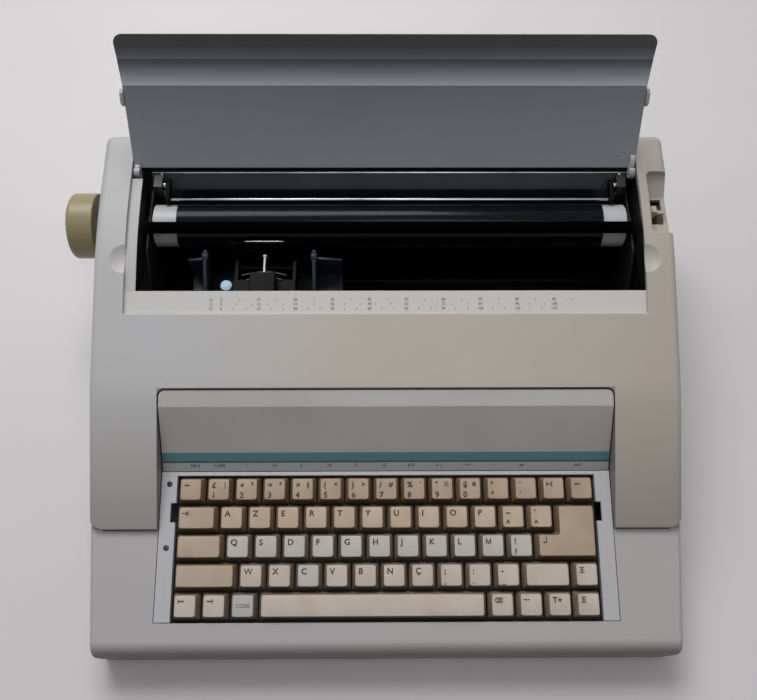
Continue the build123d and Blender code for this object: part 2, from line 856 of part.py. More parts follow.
def paper_cover():
    left = -recess_half + part_gap
    right = opening_right - part_gap
    sheet = extrude(cover_plane(left) * strip_face(cover_points(), -cover_thickness), amount=right - left)
    tips = [e for e in sheet.edges() if abs(e.length - cover_thickness) < 0.05
            and e.center().Z > cover_hinge_z + cover_flat]
    sheet = fillet(tips, cover_corner_round)
    low = -cover_offset - cover_thickness / 2
    tip = hinge_pocket - part_gap
    web = polygon([(0, cover_lug_radius), (-cover_lug_radius * 0.6, 0), (0, -cover_lug_radius * 0.6),
                   (cover_start, low), (tip, low), (tip, -cover_offset)])
    for x in (left + cover_lug_inset, right - cover_lug_inset - cover_lug_width):
        lug = extrude(cover_plane(x) * (Circle(cover_lug_radius) + web), amount=cover_lug_width)
        sheet += lug
        sheet -= rod_x(hinge_pin_radius + running_fit, x - clear, x + cover_lug_width + clear,
                       cover_hinge_y, cover_hinge_z)
    return sheet


def cover_hinge_pins():
    reach = part_gap + cover_lug_inset + cover_lug_width
    return [rod_x(hinge_pin_radius, -recess_half - skirt_thickness, -recess_half + reach,
                  cover_hinge_y, cover_hinge_z),
            rod_x(hinge_pin_radius, opening_right - reach, opening_right + skirt_thickness,
                  cover_hinge_y, cover_hinge_z)]


# Platen and its drive

platen_centre_x = (rubber_left + rubber_right) / 2
gear_distance = gear_module * (platen_gear_teeth + pinion_teeth) / 2
pinion_y, pinion_z = around(platen_y, platen_z, gear_distance, pinion_angle)
knob_outer_x = knob_inner_x - knob_length


def gear_face(teeth, first_tooth):
    """A spur gear with straight-sided teeth; first_tooth is the angle of a tooth's middle."""
    pitch_radius = gear_module * teeth / 2
    root, tip = pitch_radius - 1.25 * gear_module, pitch_radius + 0.85 * gear_module
    step = 360 / teeth
    points = []
    for i in range(teeth):
        middle = first_tooth + i * step
        for radius, share in ((root, -0.29), (tip, -0.12), (tip, 0.12), (root, 0.29)):
            points.append(around(0, 0, radius, middle + share * step))
    return polygon(points)


def platen_core():
    core = rod_x(platen_radius - rubber_thickness - running_fit, rubber_left, rubber_right,
                 platen_y, platen_z)
    core += rod_x(shaft_radius, knob_outer_x + knob_socket, right_plate_x + plate_thickness + shaft_end,
                  platen_y, platen_z)
    for x0, x1 in ((rubber_left - hub_length, rubber_left), (rubber_right, rubber_right + hub_length)):
        core += rod_x(hub_radius, x0, x1, platen_y, platen_z)
    return core


def platen_rubber():
    sleeve = rod_x(platen_radius, rubber_left + rubber_end_gap, rubber_right - rubber_end_gap,
                   platen_y, platen_z)
    return sleeve - rod_x(platen_radius - rubber_thickness, rubber_left, rubber_right, platen_y, platen_z)


def platen_knob():
    knob = rod_x(knob_radius, knob_outer_x, knob_inner_x, platen_y, platen_z)
    knob = fillet(knob.edges().sort_by(Axis.X)[0], knob_face_round)
    knob = fillet(knob.edges().sort_by(Axis.X)[-1], knob_back_round)
    return knob - rod_x(shaft_radius + running_fit, knob_outer_x + knob_socket, knob_inner_x + clear,
                        platen_y, platen_z)


def platen_gear():
    face = Pos(platen_y, platen_z) * gear_face(platen_gear_teeth, pinion_angle)
    gear = prism_x(face, gear_left_x, gear_left_x + gear_width)
    return gear - rod_x(shaft_radius + running_fit, gear_left_x - clear, gear_left_x + gear_width + clear,
                        platen_y, platen_z)


def line_feed_pinion():
    gap_angle = pinion_angle + 180 + 180 / pinion_teeth
    face = Pos(pinion_y, pinion_z) * gear_face(pinion_teeth, gap_angle)
    gear = prism_x(face, gear_left_x, gear_left_x + gear_width)
    bore = motor_shaft_radius + running_fit
    return gear - rod_x(bore, gear_left_x - clear, gear_left_x + gear_width + clear, pinion_y, pinion_z)


def line_feed_motor():
    front = span_left
    can = rod_x(feed_motor_radius, front, front + feed_motor_length, pinion_y, pinion_z)
    return can + rod_x(motor_shaft_radius, gear_left_x - clear, front, pinion_y, pinion_z)


def platen_bushes():
    bushes = []
    for x in (left_plate_x, right_plate_x):
        x0, x1 = x - bush_proud, x + plate_thickness + bush_proud
        ring = rod_x(shaft_radius + bush_wall, x0, x1, platen_y, platen_z)
        bushes.append(ring - rod_x(shaft_radius + running_fit, x0 - clear, x1 + clear, platen_y, platen_z))
    return bushes


# Frame

feed_y, feed_z = around(platen_y, platen_z, platen_radius + feed_gap + feed_roller_radius, feed_roller_angle)
lever_left = slot_left + lever_side_gap
lever_reach = lever_left + lever_thickness - right_plate_x - plate_thickness


def side_plate(x, is_left):
    points = [(plate_front_y, sole), (plate_front_y, shaft_z + plate_neck),
              (platen_y - plate_step, plate_top), (plate_back_y, plate_top), (plate_back_y, sole)]
    plate = prism_x(polygon(points, [0, plate_corner, plate_corner, plate_corner, 0]), x, x + plate_thickness)
    x0, x1 = x - clear, x + plate_thickness + clear
    plate -= rod_x(shaft_radius + bush_wall + running_fit, x0, x1, platen_y, platen_z)
    plate -= rod_x(guide_radius + running_fit, x0, x1, shaft_y, shaft_z)
    plate -= rod_x(feed_shaft_radius + running_fit, x0, x1, feed_y, feed_z)
    if is_left:
        plate -= rod_x(motor_shaft_radius + shaft_hole_gap / 2, x0, x1, pinion_y, pinion_z)
    else:
        outer = x + plate_thickness
        plate += rod_x(lever_pin_radius, outer, outer + lever_reach + lever_pin_end, lever_y, lever_pivot_z)
    return plate


def paper_release_lever():
    """A lever that stands up through the slot in the recess."""
    x0, x1 = lever_left, lever_left + lever_thickness
    half = lever_width / 2
    arm = block(x0, x1, lever_y - half, lever_y + half, lever_pivot_z, lever_tip_z)
    arm += rod_x(lever_pin_radius + lever_eye, x0, x1, lever_y, lever_pivot_z)
    reach, depth, height = lever_bar
    top = lever_tip_z - lever_bar_drop
    arm += block(x1 - clear, x1 + reach, lever_y - half, lever_y - half + depth, top - height, top)
    return arm - rod_x(lever_pin_radius + running_fit, x0 - clear, x1 + clear, lever_y, lever_pivot_z)


def base_plate():
    return block(left_plate_x, right_plate_x + plate_thickness, base_plate_front_y, plate_back_y, floor_top,
                 floor_top + base_plate_thickness)


# Paper path

def paper_table():
    radius = platen_radius + table_gap
    start = around(platen_y, platen_z, radius, table_arc_start)
    foot = around(platen_y, platen_z, radius, table_arc_end)
    bend = [table_top_point, table_knee_point, start]
    top = prism_x(strip_face(bend, sheet_thickness), span_left + part_gap,
                  right_plate_x - part_gap)
    middle = prism_x(arc_face(platen_y, platen_z, radius, sheet_thickness, table_arc_end,
                              table_arc_start + 1), rubber_left, rubber_right)
    wall_piece = block(rubber_left, rubber_right, foot[0], foot[0] + sheet_thickness, sole,
                       foot[1] + sheet_thickness / 3)
    return top + middle + wall_piece


def paper_guide():
    radius = platen_radius + guide_gap
    start, end = guide_arc
    foot = around(platen_y, platen_z, radius + sheet_thickness, end)
    bend = prism_x(arc_face(platen_y, platen_z, radius, sheet_thickness, start, end), rubber_left,
                   rubber_right)
    wall_piece = block(rubber_left, rubber_right, foot[0] - sheet_thickness, foot[0], sole,
                       foot[1] + sheet_thickness / 2)
    lip = around(platen_y, platen_z, radius, start)
    top = foot[1] - guide_tab_drop
    ends = [block(x0, x1, lip[0] - guide_tab_reach, foot[0], top - sheet_thickness, top)
            for x0, x1 in ((rubber_left - hub_length, rubber_left + clear),
                           (rubber_right - clear, rubber_right + hub_length))]
    return bend + wall_piece + ends[0] + ends[1]


def feed_roller_centres():
    first = platen_centre_x - feed_roller_span * (feed_roller_count - 1) / 2
    return [first + i * feed_roller_span for i in range(feed_roller_count)]


def feed_rollers():
    rollers = []
    for x in feed_roller_centres():
        x0, x1 = x - feed_roller_width / 2, x + feed_roller_width / 2
        roller = rod_x(feed_roller_radius, x0, x1, feed_y, feed_z)
        bore = rod_x(feed_shaft_radius + running_fit, x0 - clear, x1 + clear, feed_y, feed_z)
        rollers.append(roller - bore)
    return rollers


def feed_roller_shaft():
    return rod_x(feed_shaft_radius, left_plate_x - shaft_proud, right_plate_x + plate_thickness + shaft_proud,
                 feed_y, feed_z)


bail_y, bail_z = around(platen_y, platen_z, platen_radius + bail_radius + bail_paper_gap, bail_angle)
bail_left = rubber_left - bail_overhang
bail_right = rubber_right + bail_overhang


def bail_rod():
    """A bent steel wire: the long rod, two arms and two pivot ends."""
    reach = bracket_gap + bracket_width
    pivot = (bail_pivot_y, bail_pivot_z)
    rod = (bail_y, bail_z)
    corners = [(bail_left - reach, *pivot), (bail_left, *pivot), (bail_left, *rod),
               (bail_right, *rod), (bail_right, *pivot), (bail_right + reach, *pivot)]
    path = FilletPolyline(*corners, radius=bail_radius * 1.5)
    start = Plane(origin=path @ 0, z_dir=path % 0)
    return sweep(start * Circle(bail_radius), path=path)


def bail_brackets():
    """Two ears on the paper table that the wire turns in."""
    ears = []
    (top_y, top_z), (knee_y, knee_z) = table_top_point, table_knee_point
    slope = (top_y - knee_y) / (top_z - knee_z)
    low, high_z = bail_pivot_z - bracket_half, min(bail_pivot_z + bracket_half, top_z)
    front = bail_pivot_y - bracket_half
    points = [(front, low), (knee_y + (low - knee_z) * slope, low),
              (knee_y + (high_z - knee_z) * slope, high_z), (front, high_z)]
    for x0 in (bail_left - bracket_gap - bracket_width, bail_right + bracket_gap):
        ear = prism_x(polygon(points), x0, x0 + bracket_width)
        bore = rod_x(bail_radius + running_fit, x0 - clear, x0 + bracket_width + clear,
                     bail_pivot_y, bail_pivot_z)
        ears.append(ear - bore)
    return ears


# Carriage

wheel_z = print_z + wheel_rise - wheel_radius
wheel_back_y = wheel_face_y - wheel_thickness / 2
motor_back_y = wheel_back_y - wheel_stand_off
carriage_floor_top = wheel_z - wheel_radius - wheel_clearance
carriage_floor_z = carriage_floor_top - carriage_floor_thickness
shaft_z = carriage_floor_z + shaft_rise
belt_z = shaft_z
hammer_tip_y = wheel_back_y - hammer_tip_gap - hammer_stroke
hammer_back_y = opening_front_y + hammer_front_gap
hammer_under = print_z - hammer_height / 2 - plate_gap
belt_outer_y = belt_y + pulley_radius + belt_thickness


def carriage_body():
    body = block(carriage_left, carriage_right, carriage_front_y, carriage_back_y, carriage_floor_z,
                 carriage_floor_top)
    body += block(carriage_left + bearing_inset, carriage_right - bearing_inset, shaft_y - bearing_half_depth,
                  shaft_y + bearing_half_depth, carriage_floor_z, shaft_z + bearing_rise)
    outer = cheek_half + cheek_thickness
    front = carriage_front_y + cheek_setback
    for x0, x1 in ((print_x - outer, print_x - cheek_half), (print_x + cheek_half, print_x + outer)):
        body += block(x0, x1, front, motor_back_y, carriage_floor_z, cheek_top)
    body += block(print_x - cheek_half, print_x + cheek_half, motor_back_y - motor_wall, motor_back_y,
                  carriage_floor_z, wheel_z + wheel_motor_radius)
    for x0, x1 in ((carriage_left, print_x - cheek_half), (print_x + cheek_half, carriage_right)):
        body += block(x0, x1, front, motor_back_y, deck_z, deck_z + deck_thickness)
    body += block(print_x - outer, print_x + outer, front, hammer_back_y + coil_length,
                  hammer_under - bridge_thickness, hammer_under)
    clamp_width, clamp_height = belt_clamp
    body += block(print_x - clamp_width / 2, print_x + clamp_width / 2, belt_outer_y + plate_gap,
                  carriage_front_y + clear, belt_z - clamp_height / 2, belt_z + clamp_height / 2)
    body -= rod_x(guide_radius + running_fit, carriage_left - clear, carriage_right + clear, shaft_y, shaft_z)
    body -= rod_y(motor_shaft_radius + shaft_hole_gap, motor_back_y - motor_wall - clear,
                  motor_back_y + clear, print_x, wheel_z)
    return body


def wheel_motor():
    front = motor_back_y - motor_wall
    can = rod_y(wheel_motor_radius - motor_fit, front - wheel_motor_length, front, print_x, wheel_z)
    return can + rod_y(motor_shaft_radius, front, wheel_face_y + wheel_shaft_end, print_x, wheel_z)


def print_wheel():
    """A hub with springy petals, a letter at the end of each."""
    wheel = rod_y(wheel_hub_radius, wheel_back_y, wheel_back_y + wheel_thickness, print_x, wheel_z)
    length = wheel_radius - wheel_hub_radius + clear
    petal = Box(petal_width, wheel_thickness, length)
    petals = []
    for i in range(petal_count):
        turn = Rot(0, i * 360 / petal_count, 0) * Pos(0, 0, wheel_radius - length / 2)
        petals.append(Pos(print_x, wheel_face_y, wheel_z) * turn * petal)
    wheel = wheel.fuse(*petals)
    return wheel - rod_y(motor_shaft_radius + running_fit, wheel_back_y - clear, wheel_face_y + clear,
                         print_x, wheel_z)


def print_hammer():
    half = hammer_width / 2
    bar = block(print_x - half, print_x + half, hammer_back_y, hammer_tip_y, print_z - hammer_height / 2,
                print_z + hammer_height / 2)
    return chamfer(bar.faces().sort_by(Axis.Y)[-1].edges(), hammer_width / 5)


def hammer_coil():
    """The solenoid that the hammer slides in, on the bridge over the wheel motor."""
    half = hammer_width / 2 + plate_gap
    y0, y1 = hammer_back_y, hammer_back_y + coil_length
    coil = block(print_x - coil_half_width, print_x + coil_half_width, y0, y1, hammer_under,
                 print_z + coil_rise)
    coil = fillet(coil.edges().filter_by(Axis.Y), coil_edge_round)
    return coil - block(print_x - half, print_x + half, y0 - clear, y1 + clear, hammer_under - clear,
                        print_z + hammer_height / 2 + plate_gap)


def card_guide():
    """The thin shield that keeps the paper on the platen at the print point."""
    y1 = card_y + card_thickness
    shield = block(print_x - card_half_width, print_x + card_half_width, card_y, y1, carriage_floor_top,
                   card_top)
    return shield - block(print_x - card_window, print_x + card_window, card_y - clear, y1 + clear,
                          print_z - card_window, print_z + card_window)


def ribbon_arms():
    """Two fins that hold the ribbon cassette, each with a ring at its tip."""
    arms = []
    foot = deck_z + deck_thickness
    front, back = carriage_front_y + arm_setback, motor_back_y - arm_shelf_thickness
    ring = (arm_back_y - arm_ring_radius, arm_top - arm_ring_radius + clear)
    points = [(front, foot), (front, foot + arm_front_rise), (ring[0] - arm_ring_radius, arm_top - clear),
              (arm_back_y, arm_top), (arm_back_y, foot + arm_back_rise), (back, foot)]
    for left_arm in (True, False):
        x = carriage_left if left_arm else carriage_right - arm_thickness
        shelf_x = x if left_arm else x + arm_thickness - arm_shelf
        ring_x = x if left_arm else x - arm_ring_width
        fin = prism_x(polygon(points), x, x + arm_thickness)
        fin += block(shelf_x, shelf_x + arm_shelf, front, back, foot, foot + arm_shelf_thickness)
        fin += rod_x(arm_ring_radius, ring_x, ring_x + arm_thickness + arm_ring_width, *ring)
        fin -= rod_x(arm_ring_radius / 2, x - arm_shelf, x + arm_shelf, *ring)
        arms.append(fin)
    return arms


def ribbon_spindle():
    foot = deck_z + deck_thickness + plate_gap
    spindle = rod_z(spindle_radius, foot, foot + spindle_flange, spindle_x, spindle_y)
    spindle += rod_z(spindle_core_radius, foot, spindle_top, spindle_x, spindle_y)
    fin_top = spindle_top - 2
    fin = Box(2 * spindle_radius - 1, spindle_fin, fin_top - foot)
    for turn in (0, 90):
        spindle += Pos(spindle_x, spindle_y, (foot + fin_top) / 2) * Rot(0, 0, turn) * fin
    return spindle


def guide_shaft():
    return rod_x(guide_radius, left_plate_x - shaft_proud, right_plate_x + plate_thickness + shaft_proud,
                 shaft_y, shaft_z)


def rear_rail():
    left, right = span_left + part_gap, right_plate_x - part_gap
    rail = block(left, right, rear_rail_y, rear_rail_y + rear_rail_thickness, sole,
                 carriage_floor_z - plate_gap)
    return rail + block(left, right, rear_rail_y - rear_rail_foot, rear_rail_y, sole, sole + sheet_thickness)


def drive_belt():
    """A flat belt round both pulleys, with its width standing upright."""
    span = motor_pulley_x - idler_pulley_x
    outer = SlotCenterToCenter(span, 2 * (pulley_radius + belt_thickness))
    inner = SlotCenterToCenter(span, 2 * (pulley_radius + running_fit))
    middle = Pos((motor_pulley_x + idler_pulley_x) / 2, belt_y, belt_z - belt_height / 2)
    return extrude(middle * (outer - inner), amount=belt_height)


def pulley(x):
    half = belt_height / 2 + pulley_side_gap
    wheel = rod_z(pulley_radius, belt_z - half, belt_z + half, x, belt_y)
    for z in (belt_z - half - pulley_rim, belt_z + half):
        wheel += rod_z(pulley_radius + pulley_flange, z, z + pulley_rim, x, belt_y)
    return wheel - rod_z(motor_shaft_radius + running_fit, belt_z - 2 * half, belt_z + 2 * half, x, belt_y)


def carriage_motor():
    half = carriage_motor_half
    top = belt_z - belt_height / 2 - pulley_side_gap - pulley_rim - motor_pulley_gap
    can = block(motor_pulley_x - half, motor_pulley_x + half, belt_y - half, belt_y + half, sole, top)
    can = fillet(can.edges().filter_by(Axis.Z), carriage_motor_round)
    return can + rod_z(motor_shaft_radius, sole, belt_z + belt_height / 2 + post_rise, motor_pulley_x, belt_y)


def idler_post():
    shoulder = belt_z - belt_height / 2 - pulley_side_gap - pulley_rim - plate_gap
    post = rod_z(idler_post_radius, floor_top, shoulder, idler_pulley_x, belt_y)
    top = belt_z + belt_height / 2 + post_rise
    return post + rod_z(motor_shaft_radius, sole, top, idler_pulley_x, belt_y)


# Electrics

rocker_y = case_back - rocker_radius + rocker_proud
switch_half = rocker_width / 2 + rocker_hole[0]


def main_board():
    cx, cy = main_board_centre
    sx, sy = main_board_size
    top = main_board_z + board_thickness
    board = block(cx - sx / 2, cx + sx / 2, cy - sy / 2, cy + sy / 2, main_board_z, top)
    for i, length in enumerate(board_chips):
        x = cx - sx / 2 + board_chip_depth + i * board_chip_pitch
        board += block(x, x + length, cy - board_chip_depth / 2, cy + board_chip_depth / 2, top,
                       top + board_chip_height)
    return board


def transformer():
    cx, cy = transformer_centre
    sx, sy, sz = transformer_core
    core = block(cx - sx / 2, cx + sx / 2, cy - sy / 2 + coil_bulge, cy + sy / 2 - coil_bulge, floor_top,
                 floor_top + sz)
    coil = block(cx - sx / 4, cx + sx / 4, cy - sy / 2, cy + sy / 2, floor_top + coil_inset,
                 floor_top + sz - coil_inset)
    return core + fillet(coil.edges().filter_by(Axis.X), coil_bulge - 2)


def power_inlet():
    """Rear module: the socket for the mains lead and the well of the rocker switch."""
    inner, outer = case_back - inlet_depth - wall, case_back
    foot, top = inlet_z - inlet_height / 2, inlet_z + inlet_height / 2
    left, right = switch_x - switch_half - inlet_flange, inlet_x + inlet_width / 2 + inlet_flange
    module = block(left, right, inner, case_back - wall, foot - inlet_flange, top + inlet_flange)
    gap = part_gap / 2
    for x, half in ((inlet_x, inlet_width / 2 - gap), (switch_x, switch_half - gap)):
        module += block(x - half, x + half, case_back - wall - clear, outer, foot + gap, top - gap)
    wide, tall = socket_size
    module -= block(inlet_x - wide / 2, inlet_x + wide / 2, inner + socket_floor, outer + clear,
                    inlet_z - tall / 2, inlet_z + tall / 2)
    for x in (inlet_x - inlet_pin_spread, inlet_x + inlet_pin_spread):
        module += rod_y(inlet_pin_radius, inner + clear, outer - inlet_pin_inset, x, inlet_z)
    half = rocker_width / 2 + plate_gap
    x0, x1 = switch_x - half, switch_x + half
    module -= rod_x(rocker_radius + rocker_gap, x0, x1, rocker_y, inlet_z)
    module -= block(x0, x1, rocker_y, outer + clear, inlet_z - rocker_hole[1], inlet_z + rocker_hole[1])
    return module - rod_x(rocker_trunnion + running_fit, x0 - trunnion_length - plate_gap,
                          x1 + trunnion_length + plate_gap, rocker_y, inlet_z)


def power_switch():
    """A rocker whose two faces meet in a shallow V."""
    half = rocker_width / 2
    x0, x1 = switch_x - half, switch_x + half
    inner = rocker_y - rocker_radius
    proud, side = rocker_edge
    keep = polygon([(inner, inlet_z - rocker_radius), (rocker_y + proud, inlet_z - side),
                    (rocker_y + rocker_dip, inlet_z), (rocker_y + proud, inlet_z + side),
                    (inner, inlet_z + rocker_radius)])
    rocker = rod_x(rocker_radius, x0, x1, rocker_y, inlet_z) & prism_x(keep, x0 - clear, x1 + clear)
    rocker += rod_x(rocker_trunnion, x0 - trunnion_length, x1 + trunnion_length, rocker_y, inlet_z)
    return rocker.rotate(Axis((0, rocker_y, inlet_z), (1, 0, 0)), -rocker_rest)


# Keyboard

return_upper_units = 1.5
return_lower_units = 2.25
key_rows = [
    [("number_row_keys", 1)] * 15,
    [("tab_key", 1.5)] + [("upper_row_keys", 1)] * 12 + [(None, return_upper_units)],
    [("lock_key", 1.75)] + [("home_row_keys", 1)] * 11 + [(None, return_lower_units)],
    [("left_shift_key", 2.25)] + [("lower_row_keys", 1)] * 10 + [("right_shift_key", 1.75), ("edit_keys", 1)],
    [("margin_keys", 1)] * 2 + [("code_key", 1), ("space_bar", 8), ("correction_key", 1)]
    + [("edit_keys", 1)] * 3,
]
frame_top_w = cap_foot_w - key_travel - frame_gap
sleeve_top_w = frame_top_w + sleeve_rise
sleeve_half = (key_pitch - cap_gap) / 2 - cap_wall - sleeve_side_gap
stem_foot_w = cap_foot_w - stem_reach
board_top_w = stem_foot_w - key_travel - board_gap


def key_places():
    """Each cap's group, width in units, middle x and middle v."""
    places = []
    for row, keys in enumerate(key_rows):
        left = -keys_half_width
        v = rows_top_v - (row + 0.5) * key_pitch
        for group, units in keys:
            width = units * key_pitch
            if group:
                places.append((group, units, left + width / 2, v))
            left += width
    return places


def cap_loft(width, depth, height, top_depth, corner):
    foot = RectangleRounded(width, depth, corner)
    top = RectangleRounded(width - 2 * cap_taper_x, top_depth, corner + 1)
    return loft([foot, Pos(0, cap_top_shift, height) * top])


def cap_solids(width, depth):
    """The outside of a cap and its hollow, both standing on w 0; sizes are those of its place in the grid."""
    wide, deep = width - cap_gap, depth - cap_gap
    top_deep = cap_top_depth + depth - key_pitch
    outer = cap_loft(wide, deep, cap_height, top_deep, cap_corner)
    hollow = cap_loft(wide - 2 * cap_wall, deep - 2 * cap_wall, cap_height - cap_wall - cap_dish,
                      top_deep - 2 * cap_wall, cap_corner / 2)
    return outer, hollow


def dished(cap, width, depth):
    """A cap whose top is hollowed a little from side to side."""
    chord = (width - cap_gap) / 2 - cap_taper_x
    radius = (chord ** 2 + cap_dish ** 2) / (2 * cap_dish)
    return cap - Pos(0, 0, cap_height + radius - cap_dish) * Rot(90, 0, 0) * Cylinder(radius, 2 * depth)


def stem(x, v):
    top = cap_foot_w + cap_height - cap_dish - cap_wall / 2
    return Pos(x, v, (top + stem_foot_w) / 2) * Cylinder(stem_radius, top - stem_foot_w)


def one_key(units, x, v):
    outer, hollow = cap_solids(units * key_pitch, key_pitch)
    cap = Pos(x, v, cap_foot_w) * (dished(outer, units * key_pitch, key_pitch) - hollow)
    for sx in stem_offsets(units):
        cap += stem(x + sx, v)
    return on_deck(cap)


def stem_offsets(units):
    return (-space_stem_spread / 2, space_stem_spread / 2) if units >= 6 else (0,)


def return_places():
    """Middle x of the return key's upper and lower parts, and their v."""
    right = keys_half_width
    upper = (right - return_upper_units * key_pitch / 2, rows_top_v - 1.5 * key_pitch)
    lower = (right - return_lower_units * key_pitch / 2, rows_top_v - 2.5 * key_pitch)
    return upper, lower


def return_key():
    """An L-shaped cap over two rows, flush on the right."""
    (ux, uv), (lx, lv) = return_places()
    tall = Pos(ux, (uv + lv) / 2, cap_foot_w)
    wide = Pos(lx, lv, cap_foot_w)
    tall_outer, tall_hollow = cap_solids(return_upper_units * key_pitch, 2 * key_pitch)
    wide_outer, wide_hollow = cap_solids(return_lower_units * key_pitch, key_pitch)
    cap = tall * tall_outer + wide * wide_outer - (tall * tall_hollow + wide * wide_hollow)
    return on_deck(cap + stem(ux, (uv + lv) / 2))


def stem_places():
    places = [(x + sx, v) for group, units, x, v in key_places() for sx in stem_offsets(units)]
    (ux, uv), (lx, lv) = return_places()
    return places + [(ux, (uv + lv) / 2)]


def keyboard_frame():
    """Plate with one guide sleeve for each stem, on ribs that stand on the board."""
    half = keys_half_width + frame_margin
    v0, v1 = rows_bottom_v - frame_margin / 2, rows_top_v + frame_margin
    frame = block(-half, half, v0, v1, frame_top_w - frame_thickness, frame_top_w)
    sleeves = [block(x - sleeve_half, x + sleeve_half, v - sleeve_half, v + sleeve_half,
                     frame_top_w - clear, sleeve_top_w) for x, v in stem_places()]
    frame = frame.fuse(*sleeves)
    for x0, x1 in ((-half, frame_rib - half), (half - frame_rib, half)):
        frame += block(x0, x1, v0, v1, board_top_w, frame_top_w)
    bores = [rod_z(stem_radius + stem_bore_gap, board_top_w, sleeve_top_w + clear, x, v)
             for x, v in stem_places()]
    return on_deck(frame.cut(*bores))


def keyboard_board():
    half = keys_half_width + frame_margin
    return on_deck(block(-half, half, rows_bottom_v - frame_margin, rows_top_v + frame_margin,
                         board_top_w - board_thickness, board_top_w))


def build():
    save("top_case", top_case())
    save("bottom_case", bottom_case())
    save("front_panel", front_panel())
    save("keyboard_bezel", keyboard_bezel())
    save("paper_cover", paper_cover())
    save("cover_hinge_pins", *cover_hinge_pins())
    save("rubber_feet", *rubber_feet())
    save("case_screws", *case_screws())
    save("platen_core", platen_core())
    save("platen_rubber", platen_rubber())
    save("platen_knob", platen_knob())
    save("platen_gear", platen_gear())
    save("platen_bushes", *platen_bushes())
    save("line_feed_motor", line_feed_motor())
    save("line_feed_pinion", line_feed_pinion())
    save("paper_table", paper_table())
    save("paper_guide", paper_guide())
    save("feed_rollers", *feed_rollers())
    save("feed_roller_shaft", feed_roller_shaft())
    save("bail_rod", bail_rod())
    save("bail_brackets", *bail_brackets())
    save("paper_release_lever", paper_release_lever())
    save("base_plate", base_plate() + idler_post())
    save("left_side_plate", side_plate(left_plate_x, True))
    save("right_side_plate", side_plate(right_plate_x, False))
    save("carriage_body", carriage_body())
    save("ribbon_arms", *ribbon_arms())
    save("print_wheel", print_wheel())
    save("wheel_motor", wheel_motor())
    save("print_hammer", print_hammer())
    save("hammer_coil", hammer_coil())
    save("card_guide", card_guide())
    save("ribbon_spindle", ribbon_spindle())
    save("guide_shaft", guide_shaft())
    save("rear_rail", rear_rail())
    save("drive_belt", drive_belt())
    save("motor_pulley", pulley(motor_pulley_x))
    save("idler_pulley", pulley(idler_pulley_x))
    save("carriage_motor", carriage_motor())
    save("main_board", main_board())
    save("transformer", transformer())
    save("power_inlet", power_inlet())
    save("power_switch", power_switch())
    save("keyboard_frame", keyboard_frame())
    save("keyboard_board", keyboard_board())
    save("status_lamps", *status_lamps())
    groups = {}
    for group, units, x, v in key_places():
        groups.setdefault(group, []).append(one_key(units, x, v))
    for group, caps in groups.items():
        save(group, *caps)
    save("return_key", return_key())


build()
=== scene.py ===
from math import atan2, cos, pi, radians, sin, sqrt
import bmesh
import bpy
from mathutils import Matrix, Vector


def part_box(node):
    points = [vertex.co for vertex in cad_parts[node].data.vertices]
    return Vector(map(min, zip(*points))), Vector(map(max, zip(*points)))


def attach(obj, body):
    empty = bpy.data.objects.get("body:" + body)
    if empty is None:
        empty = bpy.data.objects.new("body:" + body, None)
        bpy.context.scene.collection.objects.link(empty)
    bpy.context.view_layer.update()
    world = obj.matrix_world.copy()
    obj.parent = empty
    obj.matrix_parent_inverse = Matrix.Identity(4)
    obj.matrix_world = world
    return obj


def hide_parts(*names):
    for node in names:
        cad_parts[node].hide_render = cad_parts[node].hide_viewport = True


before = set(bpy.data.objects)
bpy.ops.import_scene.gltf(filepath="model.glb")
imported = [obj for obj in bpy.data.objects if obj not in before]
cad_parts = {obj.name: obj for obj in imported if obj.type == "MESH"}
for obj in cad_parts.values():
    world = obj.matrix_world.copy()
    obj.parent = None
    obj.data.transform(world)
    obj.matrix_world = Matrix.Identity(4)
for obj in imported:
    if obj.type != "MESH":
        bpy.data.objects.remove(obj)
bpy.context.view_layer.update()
print("frame loaded,", len(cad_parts), "nodes")


# Camera, light and floor

studio = {
    "cameraPlace": (-0.0103, -0.206, 0.622),
    "cameraTurn": (22.912, -0.418, -0.321),
    "lens": 40.03,
    "nearestSeen": 0.01,
    "floorColour": (204, 201, 202), "floorPatches": 3,
    "floorSize": 16.0,
    "floorFade": (0.6, 1.5),             # distance from the machine
    "skyColour": (0.97, 0.98, 1.0, 1),
    "ambient": (0.20, 0.40),             # from the front and from the back
    "ambientReach": 0.7,
    "background": 0.66,
    "lamps": [
        # name, place, aim, width, depth, watts
        ("windowLamp", (-0.35, 1.05, 1.55), (0.0, 0.05, 0.05), 1.1, 0.9, 25),
        ("ceilingLamp", (0.25, -0.35, 1.9), (0.0, -0.05, 0.05), 0.45, 0.9, 3.5),
    ],
}


def rgb(colour, share=1, more=0):
    # screen colour, 0 to 255, as a linear one; share and more make it darker or paler
    values = [min(c * share + more, 255) for c in colour]
    return tuple((c / 255 / 12.92) if c <= 10 else ((c / 255 + 0.055) / 1.055) ** 2.4 for c in values) + (1,)


